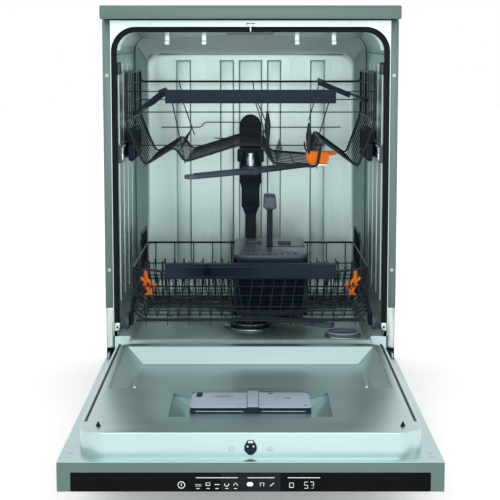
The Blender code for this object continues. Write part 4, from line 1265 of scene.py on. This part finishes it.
def makeWheel(corner):
    look = wheelLook
    node = "wheel_" + corner
    x, y, z = [middleOf(span) for span in spans(node)]
    wheel = drum(look["radius"], look["width"], (x, y, z), "X", 40)
    outward = 1 if x > 0 else -1
    rim, edge, deep = look["groove"]
    for side in (outward, -outward):
        editFaces(wheel, lambda face: face.normal.x * side > 0.9)
        bpy.ops.mesh.inset(thickness=rim * mm, depth=0)
        bpy.ops.mesh.inset(thickness=edge * mm, depth=-deep * mm)
        leaveEdit()
    roundEdges(wheel, 0.7, 2)
    hub = roundEdges(drum(look["hub"], look["width"], (x, y, z), "X", 24), 1, 2)
    cutOut(hub, drum(look["bore"], look["width"] + 4, (x, y, z), "X", 16))
    spokes = []
    for i in range(look["spokes"]):
        angle = math.radians(60 * i + 20)
        spokes.append([(x, y + reach * math.cos(angle), z + reach * math.sin(angle)) for reach in (5, 13)])
    arms = wires(spokes, 1.5, 0, 6)
    whole = together(*[paint(part, slatePlastic) for part in (hub, arms, wheel)])
    keep(whole, "wheel" + cornerName(corner), node, "slate_plastic", node)


tineLook = {"tine_row_left": 7, "tine_row_right": 4, "wire": 1.8, "shorter": 36}


def makeTines(node, name):
    (left, right), depth, (low, high) = spans(node)
    count = tineLook[node]
    y, base = middleOf(depth), low + 2
    start, end = left + 2, right - 2
    pitch = (end - start) / (count - 1)
    routes = [[(start - 1, y, base), (end + 1, y, base)]]
    for i in range(count):      # tall tines with a shorter one in each gap
        x = start + pitch * i
        routes.append([(x, y, base), (x, y, high - 1.6)])
        if i < count - 1:
            routes.append([(x + pitch * 0.5, y, base), (x + pitch * 0.5, y, high - tineLook["shorter"])])
    comb = wires(routes, tineLook["wire"], 0, 10)
    clips = [roundEdges(drum(3.6, 12, (x, y, base), "X", 20), 0.9, 2) for x in (start + 10, end - 10)]
    whole = together(*[paint(part, navyPlastic) for part in clips], paint(comb, coatedWire))
    keep(whole, name, node, "coated_wire", node)


rowClipLook = {"bends": (((226, 292), (225, 274), (214, 263), (204, 257)),
                         ((237, 275), (226, 268), (222, 251), (212, 236)),
                         ((231, 262), (221, 252), (220, 241), (227, 238)),
                         ((208, 251), (216, 262), (229, 281))),
               "thick": (4.2, 3.8, 3.0, 2.6), "middle": (221, 262)}


def makeRowClip(side, end):      # bird-shaped catch for the fold-down rows
    look = rowClipLook
    node = "clip_" + end.lower()
    near = spans(node)[1][0] + 7
    parts = [wires([[(side * x, near + i * 0.8, z) for x, z in bend]], thick, 5, 10)
             for i, (bend, thick) in enumerate(zip(look["bends"], look["thick"]))]
    x, z = look["middle"]
    plate = roundEdges(drum(9.5, 4, (side * x, near + 3, z), "Y", 24), 1.4, 3)
    pin = roundEdges(drum(3, 18, (side * x, near + 6, z), "Y", 20), 0.8, 2)
    for part in (*parts, plate):
        paint(part, orangePlastic)
    keep(together(paint(pin, navyPlastic), *parts, plate), "clip" + end, "lower_rack", "orange_plastic", node)


basketLook = {"wall": 2.5, "cell": 9.0, "sideCell": 12.6, "floorCell": 13.5, "bar": 2.0, "band": 8,
              "post": 3.5, "stem": (6.5, 5), "grip": 15, "gripDepth": (240, 320), "collar": (10, 14)}


def lattice(across, depth, height, cell, bar):      # a plate cut into a grid, then turned into bars
    sheet = block(across, depth, height)
    cuts = []
    for axis, span, normal in (("x", across, (1, 0, 0)), ("y", depth, (0, 1, 0)), ("z", height, (0, 0, 1))):
        length = span[1] - span[0]
        if length < cell * 1.5:
            continue
        count = round(length / cell)
        for i in range(1, count):
            at = span[0] + length * i / count
            place = {"x": spot(at, 0, 0), "y": spot(0, at, 0), "z": spot(0, 0, at)}[axis]
            cuts.append((place, normal))
    choose(sheet)
    bpy.ops.object.mode_set(mode="EDIT")
    for place, normal in cuts:
        bpy.ops.mesh.select_all(action="SELECT")
        bpy.ops.mesh.bisect(plane_co=place, plane_no=normal)
    leaveEdit()
    return applyModifier(sheet, "WIREFRAME", thickness=bar * mm, use_even_offset=True, use_replace=True)


def makeCutleryBasket():
    look = basketLook
    (left, right), (near, far), (low, top) = spans("cutlery_basket")
    high = spans("cutlery_lid")[2][0] - 0.3
    wall, bar, post = look["wall"], look["bar"], look["post"]
    middleX, middleY = middleOf((left, right)), middleOf((near, far))
    parts = []
    for rows in ((near + 0.4, near + wall), (far - wall, far - 0.4)):
        parts.append(lattice((left + 1, right - 1), rows, (low + 8, high - 10), look["cell"], bar))
    for side in ((left + 0.4, left + wall), (right - wall, right - 0.4)):
        parts.append(lattice(side, (near + 1, far - 1), (low + 8, high - 10), look["sideCell"], bar))
    parts.append(lattice((left + 2, right - 2), (near + 2, far - 2), (low + 0.4, low + 2.4),
                         look["floorCell"], bar))
    for under, over in ((low, low + look["band"]), (high - look["band"] - 2, high)):
        band = block((left, right), (near, far), (under, over))
        cutOut(band, block((left + wall, right - wall), (near + wall, far - wall), (under - 5, over + 5)))
        parts.append(roundEdges(band, 0.7, 2))
    for x in (left + post, right - post):      # corner posts
        for y in (near + post, far - post):
            parts.append(roundEdges(block((x - post, x + post), (y - post, y + post), (low, high)), 1.2, 2))
    for across, depth in (((left + 1, right - 1), (middleY - 1.2, middleY + 1.2)),
                          ((middleX - 1.2, middleX + 1.2), (near + 1, far - 1))):      # inner walls
        parts.append(roundEdges(block(across, depth, (low, high - 4)), 0.5, 1))
    reachX, reachY = look["stem"]
    stem = block((middleX - reachX, middleX + reachX), (middleY - reachY, middleY + reachY),
                 (low + 1, top - 14))
    roundEdges(stem, 1.5, 3)
    grip = block((middleX - look["grip"], middleX + look["grip"]), look["gripDepth"], (top - 26, top))
    editFaces(grip, lambda face: face.normal.z > 0.9)
    bpy.ops.transform.resize(value=(0.86, 0.94, 1), center_override=spot(middleX, middleY, top))
    leaveEdit()
    roundEdges(grip, 3, 4)
    reachX, reachY = look["collar"]
    collar = block((middleX - reachX, middleX + reachX), (middleY - reachY, middleY + reachY),
                   (top - 32, top - 24))
    roundEdges(collar, 2, 2)
    for part in (*parts, stem):
        paint(part, navyPlastic)
    whole = together(*parts, paint(collar, slatePlastic), paint(grip, slatePlastic), stem)
    keep(whole, "cutleryBasket", "cutlery_basket", "navy_plastic", "cutlery_basket")


basketLidLook = {"window": (15, 85), "inner": 20, "outer": 30, "slots": (16, 14, 8, 9), "stemSlot": 9,
                 "round": 30}


def makeCutleryLid():
    look = basketLidLook
    (left, right), (near, far), (low, high) = spans("cutlery_lid")
    middleX, middleY = middleOf(spans("cutlery_basket")[0]), middleOf((near, far))
    rim = block((left, right), (near, far), (low, high - 1))
    rows = [middleY + reach for reach in look["window"]]
    windows = ((left + look["outer"], middleX - look["inner"]),
               (middleX + look["inner"], right - look["outer"]))
    through = (low - 5, high + 5)
    holes = [block(window, rows, through) for window in windows]
    first, step, width, count = look["slots"]
    for i in range(count):
        start = left + first + step * i
        holes.append(block((start, start + width), (near + 14, near + 44), through))
    stemHalf = look["stemSlot"]
    holes.append(block((middleX - 8, right + 10), (middleY - stemHalf, middleY + stemHalf), through))
    bevelEdges(rim, lambda a, b: abs(a.z - b.z) > 0.003, look["round"], 8)
    for hole in holes:
        cutOut(rim, hole)
    roundEdges(rim, 1.2, 3)
    parts = [rim]
    for start, end in windows:
        parts.append(lattice((start - 1, end + 1), (rows[0] - 1, rows[1] + 1), (low + 1.5, low + 4.5),
                             9.5, 2.0))
    for y in (near + 30, far - 30):      # hinge knuckles
        parts.append(roundEdges(drum(3.4, 14, (left + 3.6, y, low + 3.6), "Y", 20), 0.8, 2))
    whole = together(*[paint(part, slatePlastic) for part in parts])
    keep(whole, "cutleryLid", "cutlery_lid", "slate_plastic", "cutlery_lid")


makeLowerBasket()
makeHandle("lower_handle", "lowerHandle", "lower_rack")
for corner in corners:
    makeWheel(corner)
makeTines("tine_row_left", "tineRowLeft")
makeTines("tine_row_right", "tineRowRight")
for side, end in ((-1, "Left"), (1, "Right")):
    makeRowClip(side, end)
makeCutleryBasket()
makeCutleryLid()
print("lower rack")


def latchShape(across, depth, height):      # a shield, widest in its middle
    nose = block(across, depth, height)
    for z, face, share in ((height[0] + 7, -1, 0.34), (height[1] - 9, 1, 0.52)):
        editFaces(nose, lambda f: True)
        bpy.ops.mesh.bisect(plane_co=spot(0, 0, z), plane_no=(0, 0, 1))
        leaveEdit()
        editFaces(nose, lambda f: f.normal.z * face > 0.9)
        bpy.ops.transform.resize(value=(share, 1, 1), center_override=spot(0, middleOf(depth), z))
        leaveEdit()
    return nose


linerLook = {"plugHalf": 270, "plug": (-638, -20), "plugRound": 44, "top": 172, "rimTop": 132, "sheet": 1.2,
             "basinHalf": 248, "basin": (-372, -45), "bedHalf": 215, "bed": (-363, -60), "bedFall": 33,
             "pocket": (-552, -404), "pocketAcross": (101, 133), "slant": 40, "bead": (202, 207),
             "beadRows": (-361, -250), "screws": (29.5, 146.8), "strip": (260.5, 266),
             "stripRows": (-578, -26), "core": (262, 264.4), "stops": (240, -603), "marks": (279, 286),
             "markRows": (-618, -636)}


def linerRim(look):      # the flat sheet round the raised middle
    across, depth = spans("door_inner_liner")[:2]
    (near, far), top = look["plug"], look["rimTop"]
    reach = look["plugHalf"] - 40
    rim = block(across, depth, (top - look["sheet"], top))
    cuts = [block(onSide(side, 284, 320), (8, 60), (100, 150)) for side in (-1, 1)]
    cuts.append(block((-reach, reach), (near + 40, far - 20), (100, 160)))
    return roundEdges(cutOut(rim, *cuts), 0.4, 2)


def linerPlug(look):      # the raised middle with its dished basin
    half, top, basin, bed = look["plugHalf"], look["top"], look["basin"], look["bed"]
    plug = block((-half, half), look["plug"], (look["rimTop"] - look["sheet"], top))
    bevelEdges(plug, lambda a, b: abs(a.z - b.z) > 0.02, look["plugRound"], 10)
    editFaces(plug, lambda face: face.normal.z < -0.9)
    bpy.ops.mesh.delete(type="FACE")
    leaveEdit()
    lines = [((x, 0, 0), (1, 0, 0)) for x in (-look["basinHalf"], look["basinHalf"])]
    lines += [((0, y, 0), (0, 1, 0)) for y in basin]
    for place, normal in lines:
        editFaces(plug, lambda face: face.normal.z > 0.99)
        bpy.ops.mesh.bisect(plane_co=spot(*place), plane_no=normal)
        leaveEdit()
    editFaces(plug, lambda face: face.normal.z > 0.99 and abs(face.center.x) < look["basinHalf"] * mm
              and basin[0] < (face.center.y - frontY) / mm < basin[1])
    bpy.ops.mesh.extrude_region_move(TRANSFORM_OT_translate={"value": (0, 0, -0.0015)})
    stretch = (look["bedHalf"] / look["basinHalf"], (bed[1] - bed[0]) / (basin[1] - basin[0]), 1)
    bpy.ops.transform.resize(value=stretch, center_override=spot(0, middleOf(basin), 0))
    bpy.ops.transform.translate(value=(0, (middleOf(bed) - middleOf(basin)) * mm, 0))
    leaveEdit()
    farY = spot(0, bed[1], 0).y
    lowZ = top * mm - 0.0001
    editEdges(plug, lambda a, b: abs(a.y - farY) < 0.001 and abs(b.y - farY) < 0.001
              and a.z < lowZ and b.z < lowZ and a.z > 0.16 and max(abs(a.x), abs(b.x)) < 0.23)
    bpy.ops.transform.translate(value=(0, 0, -look["bedFall"] * mm))
    leaveEdit()
    roundEdges(plug, 3.2, 4, 14)
    return applyModifier(plug, "SOLIDIFY", thickness=look["sheet"] * mm, offset=-1.0)


def linerOpenings(look):      # the dispenser's well and the latch's window
    (left, right), (front, back), _ = spans("dispenser_body")
    boltAcross, _, boltHeight = spans("latch_bolt")
    near = look["plug"][0]
    well = block((left + 4.6, right - 4.6), (front + 4.6, back - 4.6), (100, 200))
    window = latchShape((boltAcross[0] - 0.7, boltAcross[1] + 0.7), (near - 10, near + 10),
                        (boltHeight[0] - 0.7, boltHeight[1] + 0.7))
    return well, window


def linerPocket(look, side):      # a slanted pocket beside the dispenser: its hole and its pan
    top, rows = look["top"], look["pocket"]
    reach = onSide(side, *look["pocketAcross"])
    hole = block(reach, rows, (top - 20, top + 5))
    pan = block(reach, rows, (top - 16, top - 0.2))
    endY = spot(0, rows[1] - 1, 0).y
    for piece in (hole, pan):      # the far edge slants towards the middle
        editEdges(piece, lambda a, b: abs(a.z - b.z) > 0.003 and a.y > endY and abs(a.x) < 0.11)
        bpy.ops.transform.translate(value=(0, -look["slant"] * mm, 0))
        leaveEdit()
    editFaces(pan, lambda face: face.normal.z > 0.9)
    bpy.ops.mesh.delete(type="FACE")
    leaveEdit()
    editEdges(pan, lambda a, b: max(a.z, b.z) < (top - 15) * mm and min(abs(a.x), abs(b.x)) > 0.13)
    bpy.ops.transform.translate(value=(0, 0, 0.012))
    leaveEdit()
    applyModifier(pan, "SOLIDIFY", thickness=0.0008, offset=1.0)
    return hole, roundEdges(pan, 0.3, 1)


def makeLiner():
    look = linerLook
    parts = [linerRim(look)]
    plug = linerPlug(look)
    cutOut(plug, *linerOpenings(look))
    holes = []
    for side in (-1, 1):
        hole, pan = linerPocket(look, side)
        holes.append(hole)
        parts.append(pan)
    cutOut(plug, *holes)
    for side in (-1, 1):      # the basin's side beads
        bead = block(onSide(side, *look["bead"]), look["beadRows"], (look["top"] - 5, look["top"] + 0.4))
        editFaces(bead, lambda face: face.normal.y > 0.9)
        bpy.ops.transform.translate(value=(side * 7 * mm, 0, -9 * mm))
        leaveEdit()
        parts.append(roundEdges(bead, 1.8, 3))
    reach, z = look["screws"]
    heads = [screwHead(x, look["plug"][0] + 0.5, z, 4.8) for x in (-reach, reach)]
    for part in (*parts, plug):
        paint(part, linerSteel)
    keep(together(*heads, *parts, plug), "doorInnerLiner", "door", "bright_steel", "door_inner_liner",
         angle=26)


def makeLinerSeals():
    look = linerLook
    top, rimTop, (near, far) = look["top"], look["rimTop"], look["stripRows"]
    pieces = []
    for side in (-1, 1):      # dark seal strips beside the basin, and rubber stops
        strip = block(onSide(side, *look["strip"]), (near, far), (top - 0.5, top + 0.12))
        pieces.append(paint(roundEdges(strip, 0.1, 1), slatePlastic))
        core = block(onSide(side, *look["core"]), (near + 3, far - 3), (top, top + 0.2))
        pieces.append(paint(core, blackRubber))
        x, row = look["stops"]
        stop = drum(4.6, 8, (side * x, row, top + 3.8), "Z", 4, 0.8)
        pieces.append(paint(roundEdges(stop, 0.6, 2), blackRubber))
    for side in (-1, 1):      # small slots in the rim
        for row in look["markRows"]:
            mark = block(onSide(side, *look["marks"]), (row, row + 3), (rimTop - 0.3, rimTop + 0.5))
            pieces.append(paint(roundEdges(mark, 0.2, 1), zincSteel))
    keep(together(*pieces), "linerSeals", "door", "rubber")


def makeLatch():
    across, (near, far), (low, high) = spans("latch_bolt")
    nose = latchShape(across, (near, far), (low, high))
    roundEdges(nose, 1.0, 3)
    cutOut(nose, block((-2.2, 2.2), (near - 5, near + 3), (low + 8, high - 6)))
    cap = roundEdges(block((-4.4, 4.4), (near - 0.8, near + 4), (high - 4, high - 0.4)), 0.9, 3)
    pads = [paint(roundEdges(drum(1.5, 1.4, (x, near - 0.3, high - 9), "Y", 16), 0.4), palePlastic)
            for x in (-4.6, 4.6)]
    keep(together(*pads, paint(cap, brightSteel), paint(nose, navyPlastic)), "latchBolt", "latch_bolt",
         "navy_plastic", "latch_bolt")


dispenserLook = {"trimZ": (174.6, 176.0), "bridge": (-5.2, 13.2), "window": (13, 5.4),
                 "windowRows": (-470, -440), "arcs": (-46, -482, (10, 16, 22)), "drop": (20, -448),
                 "star": (62, -478, 8), "ink": 0.5}


def makeDispenserBody():
    look = dispenserLook
    body = paint(refined("dispenser_body", 0.8, 2), navyPlastic)
    (left, right), (near, far), (_, high) = spans("dispenser_body")
    trims = [roundEdges(block(x, (near - 0.5, near + 1), look["trimZ"]), 0.3, 1)
             for x in ((left + 9, -12), (18, right - 10))]      # bright line along the front
    trims.append(roundEdges(block(look["bridge"], (near + 1, far - 1), (high - 1.4, high + 0.5)), 0.6, 2))
    keep(together(*[paint(trim, lilacPlastic) for trim in trims], body), "dispenserBody", "door",
         "slate_plastic", "dispenser_body")


def detergentMarks(top, span):      # a dark window and raised spray arcs
    look = dispenserLook
    left, high = span[0][0], span[2][1]
    x, half = left + look["window"][0], look["window"][1]
    near, far = look["windowRows"]
    cutOut(top, block((x - half, x + half), (near, far), (high - 1, high + 3)))
    pane = block((x - half + 0.6, x + half - 0.6), (near + 0.6, far - 0.6), (high - 1.4, high - 0.2))
    marks = [paint(roundEdges(pane, 0.5, 2), navyPlastic)]
    middleX, row, radii = look["arcs"]
    arcs = [[(middleX + radius * math.cos(math.radians(a)), row + radius * math.sin(math.radians(a)), high)
             for a in range(35, 146, 10)] for radius in radii]
    return marks + [paint(wires(arcs, look["ink"], 0, 6), slatePlastic)]


def rinseMarks(top, span):      # a drop, a star and a small stop
    look = dispenserLook
    (left, right), (near, _), (_, high) = span
    x, row = look["drop"]
    drop = roundEdges(drum(4.2, 1.4, (left + x, row, high - 0.3), "Z", 28), 0.4, 2)
    x, row, reach = look["star"]
    star = [[(x, row, high), (x + reach * math.cos(math.radians(60 * k)),
                              row + reach * math.sin(math.radians(60 * k)), high)] for k in range(6)]
    rays = wires(star, look["ink"], 0, 6)
    dot = roundEdges(drum(2.2, 1.2, (right - 9, near + 9, high - 0.2), "Z", 20), 0.3, 1)
    return [paint(drop, slatePlastic), paint(rays, slatePlastic), paint(dot, navyPlastic)]


def makeDispenserLid(node, name, marksOn):
    across, depth, height = spans(node)
    base = roundEdges(block((across[0] + 0.6, across[1] - 0.6), (depth[0] + 0.4, depth[1] - 0.4),
                            (height[0], height[1] - 1.6)), 0.5, 1)
    top = block(across, depth, (height[1] - 2.2, height[1]))
    editFaces(top, lambda face: face.normal.z > 0.9)
    bpy.ops.transform.resize(value=(1, 0.86, 1), center_override=spot(0, depth[0], height[1]))
    leaveEdit()
    bevelEdges(top, lambda a, b: abs(a.z - b.z) > 0.001 and max(abs(a.x), abs(b.x)) > 0.09, 5, 5)
    roundEdges(top, 0.8, 3)
    marks = marksOn(top, (across, depth, height))
    keep(together(*marks, paint(base, navyPlastic), paint(top, lilacPlastic)), name, node, "lilac_plastic",
         node)


boardLook = {"parts": (30, 14, 14), "chipRows": (-628, -624), "chipZ": (93.5, 95.2), "pinRow": -616}


def makeDoorSkin():
    look = boardLook
    panel = paint(refined("door_outer_panel", 0.7, 3), bodySteel)
    keep(panel, "doorOuterPanel", "door", "body_steel", "door_outer_panel")
    board = paint(refined("control_board", 0.2, 1), boardGreen)
    first, step, count = look["parts"]
    bits = []
    for i in range(count):      # chips and pins
        x = spans("control_board")[0][0] + first + i * step
        chip = roundEdges(block((x, x + 6), look["chipRows"], look["chipZ"]), 0.3, 1)
        pin = roundEdges(drum(1.6, 3, (x + 3, look["pinRow"], 95), "Z", 12), 0.4, 1)
        bits += [paint(chip, blackRubber), paint(pin, zincSteel)]
    keep(together(*bits, board), "controlBoard", "door", "board_green", "control_board")


stripLook = {"programs": (-80.9, -65.5, -51.6, -36.7, -23.0), "extras": (-0.9, 17.6, 33.0), "lineZ": 107.3,
             "power": (-106.4, 95.9), "display": (57, 107), "pane": (-45, 46), "underlineZ": 90.2,
             "digits": (((0, 0), (5, 0), (5, 5), (0, 5), (0, 10), (5, 10)),
                        ((0, 10), (5, 10), (5, 5), (1.5, 5), (5, 5), (5, 0), (0, 0))),
             "digitX": 83, "digitStep": 9, "digitZ": 90.5, "ink": 0.42}


def arcOf(x, z, radius, start, end, step):      # a round line, as places across and up
    return [(x + radius * math.cos(math.radians(a)), z + radius * math.sin(math.radians(a)))
            for a in range(start, end, step)]


def symbolLines(look):      # every straight or bent mark, as places across and up
    pots, box, dash, cup, roof = look["programs"]
    _, gate, slant = look["extras"]
    x, z = look["power"]
    lines = [[(x, z - 1.6), (x, z + 2.4)]]
    for group, reach in ((look["programs"], 3.2), (look["extras"], 3.6)):
        lines.append([(group[0] - reach, look["lineZ"]), (group[-1] + reach, look["lineZ"])])
    lines += [[(x - 2.4, look["underlineZ"]), (x + 2.4, look["underlineZ"])] for x in look["programs"]]
    for z in (94.2, 96.6):      # pots and plates
        lines += [[(pots - 4 + 2 * i, z), (pots - 3 + 2 * i, z)] for i in range(5)]
    lines.append([(box - 3, 95), (box - 3, 99.5), (box + 3, 99.5), (box + 3, 95), (box - 3, 95)])
    lines.append([(dash - 4, 96.5), (dash + 4, 96.5)])
    lines.append(arcOf(cup, 97, 3.2, -200, 21, 20))
    lines.append([(roof - 3.5, 95), (roof, 99.5), (roof + 3.5, 95)])
    lines.append([(gate - 2.5, 94), (gate - 3, 99), (gate + 3, 99), (gate + 2.5, 94)])
    lines.append([(slant - 3, 94), (slant + 3, 99)])
    for i, digit in enumerate(look["digits"]):
        start = look["digitX"] + i * look["digitStep"]
        lines.append([(start + dx, look["digitZ"] + dz) for dx, dz in digit])
    left = look["display"][0] + 3
    lines.append([(left, 92), (left, 99), (left + 6, 99), (left + 6, 92), (left, 92)])
    lines.append([(x, look["lineZ"]) for x in look["display"]])
    return lines


def makeStrip():
    look = stripLook
    depth, height = spans("control_strip")[1:]
    front = depth[0]
    at = front - 0.15
    glass = paint(refined("control_strip", 0.6, 3), blackGlass)
    pane = block(look["pane"], (front - 0.05, front + 1), (height[0] + 0.6, height[1] - 0.6))
    keep(together(paint(pane, touchGlass), glass), "controlStrip", "door", "black_glass", "control_strip")
    ring = [(x, at, z) for x, z in arcOf(*look["power"], 5.2, 0, 360, 12)]
    ink = [wires([ring], 0.45, 0, 6, closed=True)]
    ink.append(wires([[(x, at, z) for x, z in line] for line in symbolLines(look)], look["ink"], 0, 4))
    for x in (look["extras"][0] - 1.6, look["extras"][0] + 1.6):
        ink.append(drum(3.2, 0.3, (x, at, 97), "Y", 20))
    keep(together(*[paint(part, paleInk) for part in ink]), "stripMarks", "door", "black_glass")


makeLiner()
makeLinerSeals()
makeLatch()
makeDispenserBody()
makeDispenserLid("detergent_lid", "detergentLid", detergentMarks)
makeDispenserLid("rinse_lid", "rinseLid", rinseMarks)
makeDoorSkin()
makeStrip()
print("door")

leftOver = [node for node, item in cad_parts.items() if not item.hide_render]
print("nodes still shown as they are:", leftOver)
